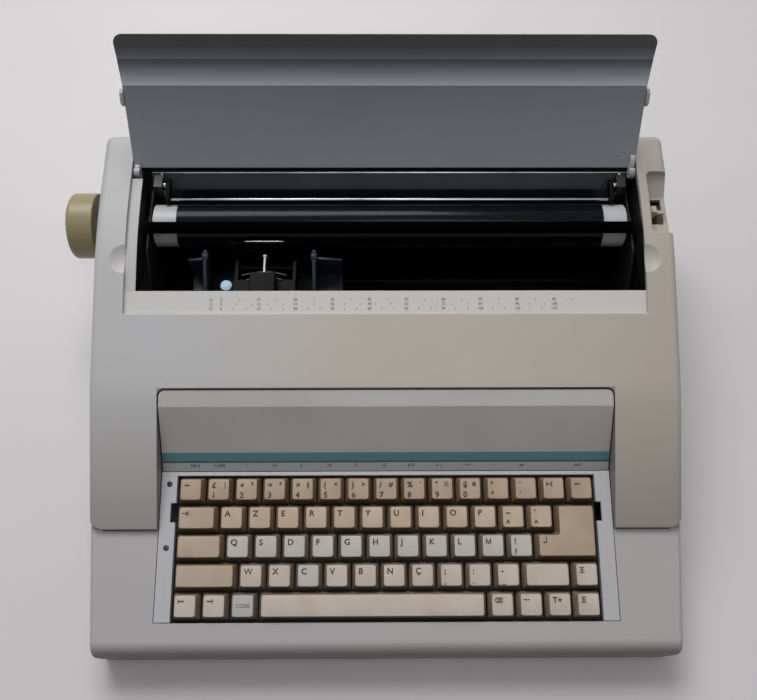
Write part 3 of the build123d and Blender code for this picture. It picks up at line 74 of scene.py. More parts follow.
def makeStudio():
    s = studio
    link = bpy.context.scene.collection.objects.link
    camera = bpy.data.objects.new("camera", bpy.data.cameras.new("camera"))
    link(camera)
    camera.location = s["cameraPlace"]
    camera.rotation_euler = [radians(a) for a in s["cameraTurn"]]
    camera.data.lens = s["lens"]
    camera.data.clip_start = s["nearestSeen"]
    bpy.context.scene.camera = camera
    for name, place, target, width, depth, power in s["lamps"]:
        lamp = bpy.data.objects.new(name, bpy.data.lights.new(name, "AREA"))
        link(lamp)
        lamp.data.shape = "RECTANGLE"
        lamp.data.size, lamp.data.size_y = width, depth
        lamp.data.energy = power
        lamp.location = place
        lamp.rotation_euler = (Vector(target) - Vector(place)).to_track_quat("-Z", "Y").to_euler()
    bpy.context.scene.world = startNodes(bpy.data.worlds.new("world"))
    background = current["nodes"]["Background"].inputs
    setSocket(background["Color"], s["skyColour"])
    direction = addNode("TexCoord").outputs["Generated"]
    sky = addNode("SeparateXYZ", {0: direction}).outputs["Y"]
    ambient = spread(sky, -s["ambientReach"], s["ambientReach"], *s["ambient"])
    strength = addNode("Mix", {0: seenDirectly(), 2: ambient, 3: s["background"]})
    setSocket(background["Strength"], strength.outputs[0])
    bpy.context.scene.view_settings.view_transform = "Standard"
    bpy.ops.mesh.primitive_plane_add(size=s["floorSize"])
    floor = bpy.context.object
    floor.name = "floor"
    return floor


# Small tools for materials

current = {}                             # the material or world to which addNode adds its nodes


def startNodes(owner):
    owner.use_nodes = True
    current["nodes"] = owner.node_tree.nodes
    return owner


def newMaterial(name):
    return startNodes(bpy.data.materials.new(name))


def setSocket(socket, value):
    if isinstance(value, bpy.types.NodeSocket):
        socket.id_data.links.new(value, socket)
    else:
        socket.default_value = value


def addNode(kind, inputs=None, **settings):
    node = current["nodes"].new("ShaderNode" + kind)
    for key, value in settings.items():
        setattr(node, key, value)
    for key, value in (inputs or {}).items():
        setSocket(node.inputs[key], value)
    return node


def objectPlace():
    return addNode("TexCoord").outputs["Object"]


def noiseOf(scale, detail=3, roughness=0.5, stretch=None):
    # noise with a scale in marks a metre
    place = objectPlace()
    if stretch:
        place = addNode("Mapping", {"Vector": place, "Scale": stretch}).outputs[0]
    values = {"Vector": place, "Scale": scale, "Detail": detail, "Roughness": roughness}
    return addNode("TexNoise", values).outputs["Fac"]


def spread(value, low, high, start=0.0, end=1.0):
    # maps low..high to start..end, held at both ends
    values = {"Value": value, "From Min": low, "From Max": high, "To Min": start, "To Max": end}
    return addNode("MapRange", values).outputs["Result"]


def clouds(scale, low, high, start=0.0, end=1.0, **kind):
    # noise whose values from low to high run from start to end
    return spread(noiseOf(scale, **kind), low, high, start, end)


def mixColours(amount, first, second):
    return addNode("Mix", {0: amount, 6: first, 7: second}, data_type="RGBA").outputs[2]


def calculate(how, first, second):
    return addNode("Math", {0: first, 1: second}, operation=how).outputs[0]


def times(first, second):
    return calculate("MULTIPLY", first, second)


def dotOf(first, second):
    return addNode("VectorMath", {0: first, 1: second}, operation="DOT_PRODUCT").outputs["Value"]


def seenDirectly():
    seen = addNode("LightPath").outputs
    mirrored = calculate("MAXIMUM", seen["Is Glossy Ray"], seen["Is Transmission Ray"])
    return calculate("MAXIMUM", seen["Is Camera Ray"], mirrored)


def placeAxis(axis):
    return addNode("SeparateXYZ", {0: objectPlace()}).outputs[axis]


def roundedEdges(radius, samples=6):
    # normals that run round sharp edges
    return addNode("Bevel", {"Radius": radius}, samples=samples).outputs["Normal"]


def edgeWear(radius):
    # 0 on flat faces, near 1 along outer and inner edges
    flat = addNode("NewGeometry").outputs["Normal"]
    return spread(dotOf(roundedEdges(radius, 4), flat), 0.995, 0.8)


def finishMaterial(material, colour, roughness, bump=None, edge=0, specular=0.5, **values):
    # bump is a height and its depth; edge is the radius at which sharp edges look rounded
    shader = current["nodes"]["Principled BSDF"]
    values.update({"Base Color": colour, "Roughness": roughness, "Specular IOR Level": specular})
    for key, value in values.items():
        setSocket(shader.inputs[key], value)
    if bump:
        relief = addNode("Bump", {"Height": bump[0], "Distance": bump[1]})
        if edge:
            setSocket(relief.inputs["Normal"], roundedEdges(edge))
        setSocket(shader.inputs["Normal"], relief.outputs["Normal"])
    return material


# Finishes

def floorFinish():
    # pale floor that runs out into the background, far from the machine
    s = studio
    material = newMaterial("floorFinish")
    soft = clouds(s["floorPatches"], 0.3, 0.7, detail=4)
    colour = mixColours(soft, rgb(s["floorColour"], more=-3), rgb(s["floorColour"], more=3))
    finishMaterial(material, colour, 0.55)
    far = addNode("VectorMath", {0: objectPlace()}, operation="LENGTH").outputs["Value"]
    fade = times(spread(far, *s["floorFade"]), seenDirectly())
    glow = addNode("Emission", {"Color": s["skyColour"], "Strength": s["background"]})
    near = current["nodes"]["Principled BSDF"].outputs[0]
    blend = addNode("MixShader", {0: fade, 1: near, 2: glow.outputs[0]})
    setSocket(current["nodes"]["Material Output"].inputs["Surface"], blend.outputs[0])
    return material


plastic = {
    # marks a metre
    "patches": 9, "specks": 520, "rubbing": 60, "sheen": 35, "grain": 2600,
    "edge": 0.0006, "rubbedEdge": 0.00096,
}


def mouldedPlastic(name, base, aged, agedWhere=None, roughness=(0.42, 0.56), grainDepth=0.00004,
                   worn=None, specular=0.45, zones=None):
    # injection-moulded plastic: spark-eroded grain, uneven ageing, rubbed edges
    p = plastic
    material = newMaterial(name)
    patches = clouds(p["patches"], 0.35, 0.7, detail=5, roughness=0.6)
    if agedWhere:
        axis, low, high = agedWhere
        slope = spread(placeAxis(axis), low, high)
        patches = calculate("ADD", times(patches, 0.35), times(slope, 0.75))
    colour = mixColours(patches, rgb(base), rgb(aged))
    specks = clouds(p["specks"], 0.62, 0.72, 0, 0.10, detail=2)
    colour = mixColours(specks, colour, rgb(base, 0.7))
    rubbed = times(edgeWear(p["rubbedEdge"]), clouds(p["rubbing"], 0.35, 0.65, 0.1, 0.55))
    colour = mixColours(rubbed, colour, rgb(worn) if worn else rgb(base, 1.12))
    for mask, share, tint in (zones or {}).values():
        colour = mixColours(times(mask(), share), colour, rgb(tint))
    rough = clouds(p["sheen"], 0.3, 0.7, *roughness, detail=4)
    grain = noiseOf(p["grain"], detail=1)
    return finishMaterial(material, colour, rough, (grain, grainDepth), p["edge"], specular)


def sheetMetal(name, base, roughness=(0.3, 0.5), metallic=1.0, brushed=None):
    # metal with a drawn or brushed grain and dull patches
    material = newMaterial(name)
    colour = mixColours(clouds(25, 0.35, 0.7, detail=4), rgb(base), rgb(base, 0.72))
    lines = noiseOf(900, stretch=brushed)
    rough = spread(lines, 0.3, 0.7, *roughness)
    return finishMaterial(material, colour, rough, (lines, 0.00002), 0.0003, Metallic=metallic)


def groundRubber(name, base, roughness, rings=None, specular=0.5):
    # ground rubber, with faint rings where it was turned
    material = newMaterial(name)
    dust = clouds(70, 0.45, 0.75, 0, 0.35, detail=5, roughness=0.65)
    colour = mixColours(dust, rgb(base), rgb(base, 1.5, 5))
    rough = clouds(45, 0.3, 0.7, *roughness, stretch=rings)
    grain = noiseOf(1300, detail=2, stretch=rings)
    return finishMaterial(material, colour, rough, (grain, 0.00002), 0.0003, specular)


def circuitBoard(name, base, track):
    # lacquer over a maze of tracks
    material = newMaterial(name)
    bricks = {"Vector": objectPlace(), "Scale": 160, "Mortar Size": 0.03}
    maze = addNode("TexBrick", bricks).outputs["Fac"]
    colour = mixColours(times(maze, 0.8), rgb(base), rgb(track))
    colour = mixColours(clouds(60, 0.4, 0.6, 0, 0.3), colour, rgb(base, 0.6))
    return finishMaterial(material, colour, 0.35, (maze, 0.00005), 0.0002)


def greasedPlastic(name, base, grease=(96, 84, 62)):
    # smooth gear plastic with specks of grease
    material = newMaterial(name)
    colour = mixColours(clouds(120, 0.4, 0.65, 0, 0.5), rgb(base), rgb(base, 0.86))
    colour = mixColours(clouds(260, 0.62, 0.7, 0, 0.5, detail=4), colour, rgb(grease))
    rough = clouds(90, 0.3, 0.7, 0.28, 0.5)
    return finishMaterial(material, colour, rough, (noiseOf(1500), 0.00001), 0.0002,
                          **{"Subsurface Weight": 0.05, "Subsurface Scale": 0.002})


def keyPlastic(name, top, worn, skirt):
    # cap with a pale top, a little shine where fingers land, and steep sides painted brown as shade
    material = newMaterial(name)
    facing = addNode("SeparateXYZ", {0: addNode("NewGeometry").outputs["Normal"]}).outputs
    patches = clouds(55, 0.35, 0.65)
    topColour = mixColours(patches, rgb(top), rgb(worn))
    shadedSideColour = mixColours(patches, rgb(skirt), rgb(skirt, 1.12))
    shadedFront = spread(facing["Y"], -0.45, -0.75)          # painted shade: the faces of a cap that look to the front are painted darker
    shadedSideColour = mixColours(shadedFront, shadedSideColour, rgb(skirt, 0.62))
    # painted shade: faces steeper than the top take the darker side colour
    colour = mixColours(spread(facing["Z"], 0.80, 0.97), shadedSideColour, topColour)
    colour = mixColours(times(edgeWear(0.0006), 0.25), colour, rgb(top, 0.8))
    rough = clouds(90, 0.35, 0.65, 0.34, 0.48)
    return finishMaterial(material, colour, rough, (noiseOf(3000, detail=1), 0.00003))


def lampPlastic(name, base, aged, dark, darkFrom):
    # the front lamp is red, the rear one looks black
    material = newMaterial(name)
    colour = mixColours(clouds(400, 0.4, 0.6), rgb(base), rgb(aged))
    colour = mixColours(insideBox((None, darkFrom), (None, None)), colour, rgb(dark))
    return finishMaterial(material, colour, 0.12, (noiseOf(500), 0.00001), **{"Coat Weight": 0.5})


def printedInk(name, base):
    # screen-printed ink, a little uneven
    material = newMaterial(name)
    colour = mixColours(clouds(600, 0.4, 0.75), rgb(base), rgb(base, 1.2, 8))
    return finishMaterial(material, colour, 0.5, (noiseOf(2500), 0.000005))


panelPaint = {
    "face": (172, 169, 166), "aged": (164, 160, 155), "print": (70, 112, 120), "rule": (44, 66, 72),
    "label": (150, 150, 150),
    "stripe": (-0.0503, -0.0455), "ruleWidth": 0.0012, "soft": 0.00015,
}


def printedPanel(name):
    # satin panel with a printed stripe above its label strip
    material = newMaterial(name)
    p = panelPaint
    (front, back), soft = p["stripe"], p["soft"]
    colour = mixColours(clouds(14, 0.35, 0.7, detail=4), rgb(p["face"]), rgb(p["aged"]))
    y = placeAxis("Y")
    bands = (-1, front, "label"), (front - p["ruleWidth"], front, "rule"), (front, back, "print")
    for low, high, tint in bands:
        start = spread(y, low - soft, low + soft)
        inside = times(start, spread(y, high + soft, high - soft))
        colour = mixColours(inside, colour, rgb(p[tint]))
    colour = mixColours(times(edgeWear(0.0008), 0.4), colour, rgb(p["face"], 1.1))
    rough = clouds(35, 0.3, 0.7, 0.34, 0.46, detail=4)
    return finishMaterial(material, colour, rough, (noiseOf(2600, detail=1), 0.00002), 0.0005, 0.4)


# Zones: masks that are 1 where a finish changes

caseForm = {
    "opening": ((-0.17206, 0.05694), (0.17956, 0.15706)),    # its front left and back right corners
    "pocket": (-0.17956, 0.13954),       # front left corner, beside the cover's hinge
    "paleEdge": (0.0036, 0.0038),        # depth under the top where the black begins
    "crest": (0.098, 0.119276), "slopes": (0.0349, 0.2867),
    "coverScoop": (0.1635, 0.1802), "coverRim": (0.1812, 0.1885),
    "coverFacing": (0, -0.804, 0.595),
}


def insideBox(low, high, soft=0.00005):
    # 1 inside a box of object coordinates, 0 outside; None leaves a side open
    place = addNode("SeparateXYZ", {0: objectPlace()}).outputs
    inside = None
    for axis, a, b in zip("XYZ", low, high):
        for limit, side in ((a, soft), (b, -soft)):
            if limit is not None:
                part = spread(place[axis], limit - side, limit + side)
                inside = part if inside is None else times(inside, part)
    return inside


def within(low, high):
    return lambda: insideBox(low, high)


def along(axis, low, high):
    # 0 at low, 1 at high
    return lambda: spread(placeAxis(axis), low, high)


def both(first, second):
    return lambda: times(first(), second())


def blackenedWalls():
    # painted shade: the walls that hang round the platen's opening are painted near black below their pale
    # edge
    corner, far = caseForm["opening"]
    y, height = caseForm["crest"]
    run = calculate("SUBTRACT", placeAxis("Y"), y)
    behind, before = [times(run, slope) for slope in caseForm["slopes"]]
    rise = calculate("MINIMUM", behind, before)
    depth = calculate("SUBTRACT", calculate("ADD", rise, height), placeAxis("Z"))
    opening = insideBox(corner, far)
    hanging = calculate("MAXIMUM", opening, insideBox(caseForm["pocket"], far))
    return times(hanging, spread(depth, *caseForm["paleEdge"]))


def coverBack():
    # the cover is grey inside; its edges and outside have the colour of the case
    normal = addNode("TexCoord").outputs["Normal"]
    return spread(dotOf(normal, caseForm["coverFacing"]), 0.75, 0.6)


def coverScoop():
    # painted light: the scoop across the cover is painted pale towards its foot, where its curve would face
    # the light
    foot, top = caseForm["coverScoop"]
    rise = spread(placeAxis("Z"), top, foot)
    return times(times(rise, rise), insideBox((None, None, foot), (None, None, top)))


def coverDust():
    # painted shade: the scoop is painted dark towards its top and along the rim
    foot, top = caseForm["coverScoop"]
    height = placeAxis("Z")
    upper = spread(height, (foot + top) / 2, top)
    scoop = times(upper, insideBox((None, None, foot), (None, None, top)))
    return calculate("MAXIMUM", scoop, spread(height, *caseForm["coverRim"]))


# name: mask, strength, colour; a later zone lies over an earlier one
caseZones = {
    # painted shade: the rear of the case is painted darker
    "rearPaintedShade": (along("Y", 0.08, 0.16), 0.35, (140, 140, 142)),
    # painted shade: the right of the case is painted darker and warmer
    "rightPaintedShade": (along("X", 0.06, 0.18), 0.35, (158, 147, 136)),
    "scaleStrip": (within((-0.1795, 0.0402), (0.1795, 0.05694)), 0.9, (200, 197, 194)),
    # painted shade: the wings are painted darker towards their front ends, where they face away from the
    # light
    "wingPaintedShade": (both(along("Y", -0.012, -0.1), within((None, -0.0953), (None, None))),
                  0.8, (132, 128, 123)),
    # the case in front of the wing ends is a little darker
    "deckDarker": (within((None, None), (None, -0.0953)), 0.85, (166, 162, 164)),
    # painted shade: the walls of the keyboard well are painted dark
    "wellWallsPaintedShade": (within((-0.15482, -0.0953), (0.15482, -0.008)), 0.8, (104, 100, 97)),
    # painted shade: the front roll is painted dark brown towards its front, where it turns under
    "frontPaintedShade": (along("Y", -0.166, -0.177), 0.85, (84, 70, 60)),
    # painted shade inside the platen's opening
    "blackenedWalls": (blackenedWalls, 1.0, (7, 7, 8)),
}
coverZones = {
    # painted light: the cover is painted paler towards its foot
    "foot": (along("Z", 0.185, 0.120), 0.75, (154, 159, 165)),
    # painted shade at the top of the scoop and along the rim
    "dust": (coverDust, 0.95, (62, 64, 67)),
    # painted light on the lower part of the scoop
    "scoop": (coverScoop, 1.0, (212, 222, 232)),
    "back": (coverBack, 1.0, (196, 192, 182)),
}


# Every finish by its name, with its colours from 0 to 255

fine = 0.00001                           # grain of polished plastic
finishTable = {
    mouldedPlastic: {
        "case": {"base": (180, 180, 182), "aged": (181, 171, 159), "agedWhere": ("X", -0.15, 0.0),
                 "zones": caseZones},
        "deck": {"base": (168, 166, 166), "aged": (164, 158, 151), "agedWhere": ("X", -0.14, 0.10),
                 # painted shade on the front roll, as on the case
                 "zones": {"grime": caseZones["frontPaintedShade"]}},
        "bezel": {"base": (178, 178, 182), "aged": (174, 173, 176)},
        "cover": {"base": (112, 117, 121), "aged": (102, 107, 110), "roughness": (0.36, 0.5),
                  "grainDepth": 0.00003, "zones": coverZones},
        "knob": {"base": (146, 134, 102), "aged": (134, 121, 90), "roughness": (0.34, 0.44),
                 "grainDepth": fine},
        "lever": {"base": (176, 166, 148), "aged": (160, 150, 132), "grainDepth": fine},
        "black": {"base": (26, 27, 29), "aged": (20, 21, 22), "roughness": (0.38, 0.55),
                  "grainDepth": 0.00002, "worn": (58, 60, 62)},
        "frame": {"base": (14, 13, 12), "aged": (20, 18, 16), "roughness": (0.5, 0.7)},
        "carriage": {"base": (7, 7, 9), "aged": (11, 11, 13), "roughness": (0.45, 0.6), "grainDepth": fine,
                     "worn": (30, 32, 36), "specular": 0.08},
        "arm": {"base": (34, 40, 52), "aged": (27, 32, 42), "roughness": (0.32, 0.45), "grainDepth": fine,
                "specular": 0.2},
        "white": {"base": (190, 192, 194), "aged": (176, 178, 180), "roughness": (0.3, 0.42),
                  "grainDepth": fine},
        "matBlack": {"base": (3, 3, 4), "aged": (5, 5, 6), "roughness": (0.6, 0.75), "grainDepth": fine,
                     "worn": (14, 15, 17), "specular": 0.0},
    },
    printedPanel: {"panel": {}},
    keyPlastic: {
        "keyBeige": {"top": (185, 166, 148), "worn": (176, 155, 134), "skirt": (122, 102, 82)},
        "keyTan": {"top": (176, 158, 141), "worn": (167, 146, 126), "skirt": (118, 98, 78)},
        "keyDark": {"top": (170, 150, 130), "worn": (160, 139, 118), "skirt": (114, 94, 74)},
        "keyPale": {"top": (190, 178, 167), "worn": (182, 167, 153), "skirt": (122, 106, 92)},
        "keyGrey": {"top": (184, 180, 176), "worn": (176, 170, 164), "skirt": (118, 108, 98)},
        "keyCode": {"top": (174, 172, 168), "worn": (166, 162, 157), "skirt": (112, 104, 96)},
    },
    greasedPlastic: {"blue": {"base": (150, 182, 204)}, "gear": {"base": (218, 212, 196)}},
    groundRubber: {
        "platen": {"base": (7, 10, 16), "roughness": (0.13, 0.18), "rings": (0.2, 1, 1), "specular": 0.12},
        "rubber": {"base": (24, 24, 25), "roughness": (0.5, 0.7)},
    },
    sheetMetal: {
        "steel": {"base": (200, 202, 204), "roughness": (0.14, 0.28), "brushed": (0.05, 1, 1)},
        "zinc": {"base": (150, 150, 146), "roughness": (0.34, 0.52)},
        "motor": {"base": (44, 44, 46), "roughness": (0.3, 0.45), "metallic": 0.6},
        "darkSheet": {"base": (48, 52, 57), "roughness": (0.34, 0.5), "metallic": 0.35},
        # painted shade: the plates inside the machine are made near black
        "blackSheet": {"base": (14, 14, 16), "roughness": (0.5, 0.65), "metallic": 0.2},
    },
    circuitBoard: {"board": {"base": (58, 84, 44), "track": (98, 120, 66)}},
    lampPlastic: {
        "lamp": {"base": (66, 18, 24), "aged": (40, 10, 16), "dark": (9, 9, 10), "darkFrom": -0.09},
    },
    printedInk: {"legend": {"base": (38, 35, 34)}, "legendTeal": {"base": (46, 84, 92)},
                 "scalePrint": {"base": (116, 112, 108)}},
}
nodeFinishes = {
    "case": "top_case", "deck": "bottom_case", "bezel": "keyboard_bezel", "panel": "front_panel",
    "cover": "paper_cover", "knob": "platen_knob", "lever": "paper_release_lever",
    "black": "bail_brackets platen_bushes power_inlet power_switch",
    "carriage": "carriage_body card_guide hammer_coil print_wheel wheel_motor",
    "frame": "keyboard_frame", "arm": "ribbon_arms",
    "keyDark": "number_row_keys return_key", "keyBeige": "upper_row_keys", "keyGrey": "home_row_keys",
    "keyCode": "code_key", "keyTan": "tab_key lock_key left_shift_key",
    "keyPale": "lower_row_keys right_shift_key margin_keys edit_keys space_bar correction_key",
    "white": "platen_core print_hammer", "blue": "ribbon_spindle",
    "gear": "platen_gear line_feed_pinion motor_pulley idler_pulley",
    "platen": "platen_rubber", "rubber": "rubber_feet feed_rollers drive_belt",
    "steel": "guide_shaft feed_roller_shaft bail_rod cover_hinge_pins", "zinc": "case_screws",
    "motor": "line_feed_motor carriage_motor transformer",
    "darkSheet": "paper_table", "blackSheet": "base_plate left_side_plate right_side_plate rear_rail",
    "matBlack": "paper_guide", "board": "main_board keyboard_board", "lamp": "status_lamps",
}


def paint(thing, material):
    thing.data.materials.clear()
    thing.data.materials.append(material)
    for face in thing.data.polygons:
        face.material_index = 0


paint(makeStudio(), floorFinish())
finishes = {}
for maker, rows in finishTable.items():
    for name, values in rows.items():
        finishes[name] = maker(name + "Finish", **values)
finishOf = {name: finish for finish, names in nodeFinishes.items() for name in names.split()}
for name, finish in finishOf.items():
    paint(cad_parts[name], finishes[finish])
print("studio and", len(finishes), "finishes ready")


# Small tools for modelling

def clearSelection():
    if bpy.context.object and bpy.context.object.mode != "OBJECT":
        bpy.ops.object.mode_set(mode="OBJECT")
    bpy.ops.object.select_all(action="DESELECT")


def pickOnly(thing):
    clearSelection()
    thing.select_set(True)
    bpy.context.view_layer.objects.active = thing


def editing(thing, action="SELECT"):
    pickOnly(thing)
    bpy.ops.object.mode_set(mode="EDIT")
    bpy.ops.mesh.select_all(action=action)


def bevelEdges(thing, test, offset, segments):
    # rounds the edges that pass the test, in edit mode
    bpy.ops.mesh.select_mode(type="EDGE")
    selectEdges(thing, test)
    bpy.ops.mesh.bevel(offset=offset, segments=segments, affect="EDGES")


def selectEdges(thing, test):
    mesh = bmesh.from_edit_mesh(thing.data)
    for part in mesh.verts[:] + mesh.edges[:] + mesh.faces[:]:
        part.select = False
    for edge in mesh.edges:
        if test(edge):
            edge.select = True
    mesh.select_flush_mode()
    bmesh.update_edit_mesh(thing.data)


def applyModifier(thing, kind, **settings):
    pickOnly(thing)
    modifier = thing.modifiers.new(kind.lower(), kind)
    for key, value in settings.items():
        setattr(modifier, key, value)
    bpy.ops.object.modifier_apply(modifier=modifier.name)


def smooth(thing, angle=35):
    pickOnly(thing)
    bpy.ops.object.shade_smooth_by_angle(angle=radians(angle))


def joined(things, name):
    clearSelection()
    for thing in things:
        thing.select_set(True)
    bpy.context.view_layer.objects.active = things[0]
    if len(things) > 1:
        bpy.ops.object.join()
    things[0].name = name
    things[0].data.name = name
    return things[0]


def place(piece, body, slot, finish=None, replaced=()):
    if finish:
        paint(piece, finishes[finish])
    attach(piece, body)
    if replaced:
        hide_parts(*replaced)


def textMesh(words, height, bolder, centre=False):
    # flat lettering as a mesh, its foot on the X axis, with capitals as high as asked
    clearSelection()
    bpy.ops.object.text_add()
    label = bpy.context.object
    size = height / lettering["capital"]
    label.data.body = words
    label.data.size = size
    label.data.offset = bolder * size
    label.data.resolution_u = 3
    label.data.align_x = "CENTER" if centre else "LEFT"
    bpy.ops.object.convert(target="MESH")
    return bpy.context.object


def flatMesh(faces):
    # flat faces, each given by its corners
    mesh = bpy.data.meshes.new("strokes")
    build = bmesh.new()
    for corners in faces:
        build.faces.new([build.verts.new((x, y, 0)) for x, y in corners])
    build.to_mesh(mesh)
    build.free()
    sign = bpy.data.objects.new("strokes", mesh)
    bpy.context.scene.collection.objects.link(sign)
    return sign


def strokeFaces(lines, width):
    # ribbons along straight lines, for arrows and signs
    faces = []
    for x0, y0, x1, y1 in lines:
        length = sqrt((x1 - x0) ** 2 + (y1 - y0) ** 2)
        ax, ay = (x1 - x0) / length * width / 2, (y1 - y0) / length * width / 2
        faces.append([(x0 - ax + ay, y0 - ay - ax), (x1 + ax + ay, y1 + ay - ax),
                      (x1 + ax - ay, y1 + ay + ax), (x0 - ax - ay, y0 - ay + ax)])
    return faces


def thicken(mark, ink=0.00004):
    applyModifier(mark, "SOLIDIFY", thickness=ink, offset=1)
    return mark


# Key caps

keyboard = {
    "origin": (0, -0.098, 0.0478),       # where the deck meets the wing ends
    "tilt": 8,
    "pitch": 0.01905, "rowsTop": 0.0382, "across": 15, "gap": 0.00095,
    "foot": -0.0042, "height": 0.0083,
    "taper": 0.0024,                     # of the sides
    "topDepth": 0.0144, "topShift": 0.0005, "corner": 0.0017, "rim": 0.0006,
    "dish": 0.0006, "dishColumns": 7,
    "dishBlend": 0.002,                  # height over which the hollow dies out
    "wall": 0.0011, "stemRadius": 0.0023, "stemRound": 0.0004, "stemFoot": -0.0125,
    "stemSpread": 0.110,                 # on the space bar
    "returnUnits": (1.5, 2.25),          # width of its upper and of its lower half
    "near": 0.0001,
}
# each row from the left: group, width in units, how many; None keeps room for the return key
keyRows = [
    [("number_row_keys", 1, 15)],
    [("tab_key", 1.5, 1), ("upper_row_keys", 1, 12), (None, 1.5, 1)],
    [("lock_key", 1.75, 1), ("home_row_keys", 1, 11), (None, 2.25, 1)],
    [("left_shift_key", 2.25, 1), ("lower_row_keys", 1, 10), ("right_shift_key", 1.75, 1),
     ("edit_keys", 1, 1)],
    [("margin_keys", 1, 2), ("code_key", 1, 1), ("space_bar", 8, 1), ("correction_key", 1, 1),
     ("edit_keys", 1, 3)],
]
oddCaps = {("lower_row_keys", 2): "keyGrey"}             # one letter has a grey cap in a pale row


def keyPlaces():
    pitch = keyboard["pitch"]
    places = []
    for row, groups in enumerate(keyRows):
        left = -keyboard["across"] * pitch / 2
        v = keyboard["rowsTop"] - (row + 0.5) * pitch
        for group, units, count in groups:
            for _ in range(count):
                if group:
                    places.append((group, units, left + units * pitch / 2, v))
                left += units * pitch
    return places


def returnPlace():
    # the return key hangs from the middle of its upper half's lower edge
    k = keyboard
    right = k["across"] * k["pitch"] / 2
    return right - k["returnUnits"][0] / 2 * k["pitch"], k["rowsTop"] - 2 * k["pitch"]


def onDeck(x, v):
    # from a cap's own place to its place on the sloping deck
    turn = Matrix.Rotation(radians(keyboard["tilt"]), 4, "X")
    return Matrix.Translation(keyboard["origin"]) @ turn @ Matrix.Translation((x, v, keyboard["foot"]))


def halfTopOf(units):
    return (units * keyboard["pitch"] - keyboard["gap"]) / 2 - keyboard["taper"]


def dishAt(x, halfTop):
    # how far the cap's top lies under its edges
    return keyboard["dish"] * max(0.0, 1 - (x / halfTop) ** 2) if halfTop else 0


def flatCap(width, depth):
    clearSelection()
    bpy.ops.mesh.primitive_plane_add(size=1)
    cap = bpy.context.object
    cap.scale = (width, depth, 1)
    bpy.ops.object.transform_apply(scale=True)
    return cap


def shapeCap(cap, halfTop=0, columns=0):
    # cap is a flat outline: raised, tapered, rounded, dished and hollowed
    k = keyboard
    inset = (k["taper"] + (k["pitch"] - k["gap"] - k["topDepth"]) / 2) / 2
    editing(cap)
    bpy.ops.mesh.inset(thickness=inset, depth=k["height"])
    bpy.ops.transform.translate(value=(0, k["topShift"], 0))
    bevelEdges(cap, lambda e: abs(e.verts[0].co.z - e.verts[1].co.z) > 0.001, k["corner"], 4)
    bevelEdges(cap, lambda e: min(v.co.z for v in e.verts) > k["height"] - k["near"], k["rim"], 3)
    for i in range(columns):
        bpy.ops.mesh.select_all(action="SELECT")
        bpy.ops.mesh.bisect(plane_co=(halfTop * (2 * (i + 1) / (columns + 1) - 1), 0, 0), plane_no=(1, 0, 0))
    bpy.ops.object.mode_set(mode="OBJECT")
    for vertex in cap.data.vertices:
        share = max(0.0, vertex.co.z - k["height"] + k["dishBlend"]) / k["dishBlend"]
        vertex.co.z -= dishAt(vertex.co.x, halfTop) * share
    applyModifier(cap, "SOLIDIFY", thickness=k["wall"], offset=-1)


def stemMesh(x):
    k = keyboard
    clearSelection()
    top = k["height"] - k["dish"] - k["wall"] / 2
    low = k["stemFoot"] - k["foot"]
    bpy.ops.mesh.primitive_cylinder_add(vertices=20, radius=k["stemRadius"], depth=top - low,
                                        location=(x, 0, (top + low) / 2))
    stem = bpy.context.object
    bpy.ops.object.transform_apply(location=True)
    editing(stem, "DESELECT")
    bevelEdges(stem, lambda e: max(v.co.z for v in e.verts) < low + k["near"], k["stemRound"], 2)
    bpy.ops.object.mode_set(mode="OBJECT")
    return stem


def straightCap(units):
    k = keyboard
    cap = flatCap(units * k["pitch"] - k["gap"], k["pitch"] - k["gap"])
    shapeCap(cap, halfTopOf(units), k["dishColumns"])
    stems = (-k["stemSpread"] / 2, k["stemSpread"] / 2) if units >= 6 else (0,)
    return joined([cap] + [stemMesh(x) for x in stems], "cap")


def returnCap():
    # L-shaped outline: the tall part, and a wing to the left of its lower half
    k = keyboard
    gap = k["gap"] / 2
    tall, wide = [units * k["pitch"] for units in k["returnUnits"]]
    right = tall / 2 - gap
    low, middle, high = -k["pitch"] + gap, -gap, k["pitch"] - gap
    cap = flatCap(2 * right, high - low)
    editing(cap)
    bpy.ops.mesh.bisect(plane_co=(0, middle, 0), plane_no=(0, 1, 0))
    bpy.ops.mesh.select_mode(type="EDGE")
    selectEdges(cap, lambda e: max(v.co.x for v in e.verts) < -right + k["near"]
                and (e.verts[0].co.y + e.verts[1].co.y) / 2 < middle)
    bpy.ops.mesh.extrude_region_move(TRANSFORM_OT_translate={"value": (tall - wide, 0, 0)})
    bpy.ops.mesh.select_all(action="SELECT")
    bpy.ops.mesh.remove_doubles(threshold=0.00001)
    bpy.ops.mesh.dissolve_limited(angle_limit=0.01)
    bpy.ops.object.mode_set(mode="OBJECT")
    shapeCap(cap)
    return joined([cap, stemMesh(0)], "cap")


def slotOf(group):
    return "key_grey" if group == "home_row_keys" else "key_beige"


def makeKeys():
    shapes = {}
    groups = {}
    for group, units, x, v in keyPlaces() + [("return_key", 0, *returnPlace())]:
        if units not in shapes:
            shapes[units] = straightCap(units) if units else returnCap()
        cap = shapes[units].copy()
        cap.data = cap.data.copy()
        bpy.context.scene.collection.objects.link(cap)
        cap.data.transform(onDeck(x, v))
        caps = groups.setdefault(group, [])
        paint(cap, finishes[oddCaps.get((group, len(caps)), finishOf[group])])
        caps.append(cap)
    for shape in shapes.values():
        bpy.data.objects.remove(shape)
    for group, caps in groups.items():
        piece = joined(caps, group + "_caps")
        smooth(piece, 40)
        place(piece, group, slotOf(group), replaced=[group])


# Lettering on the caps

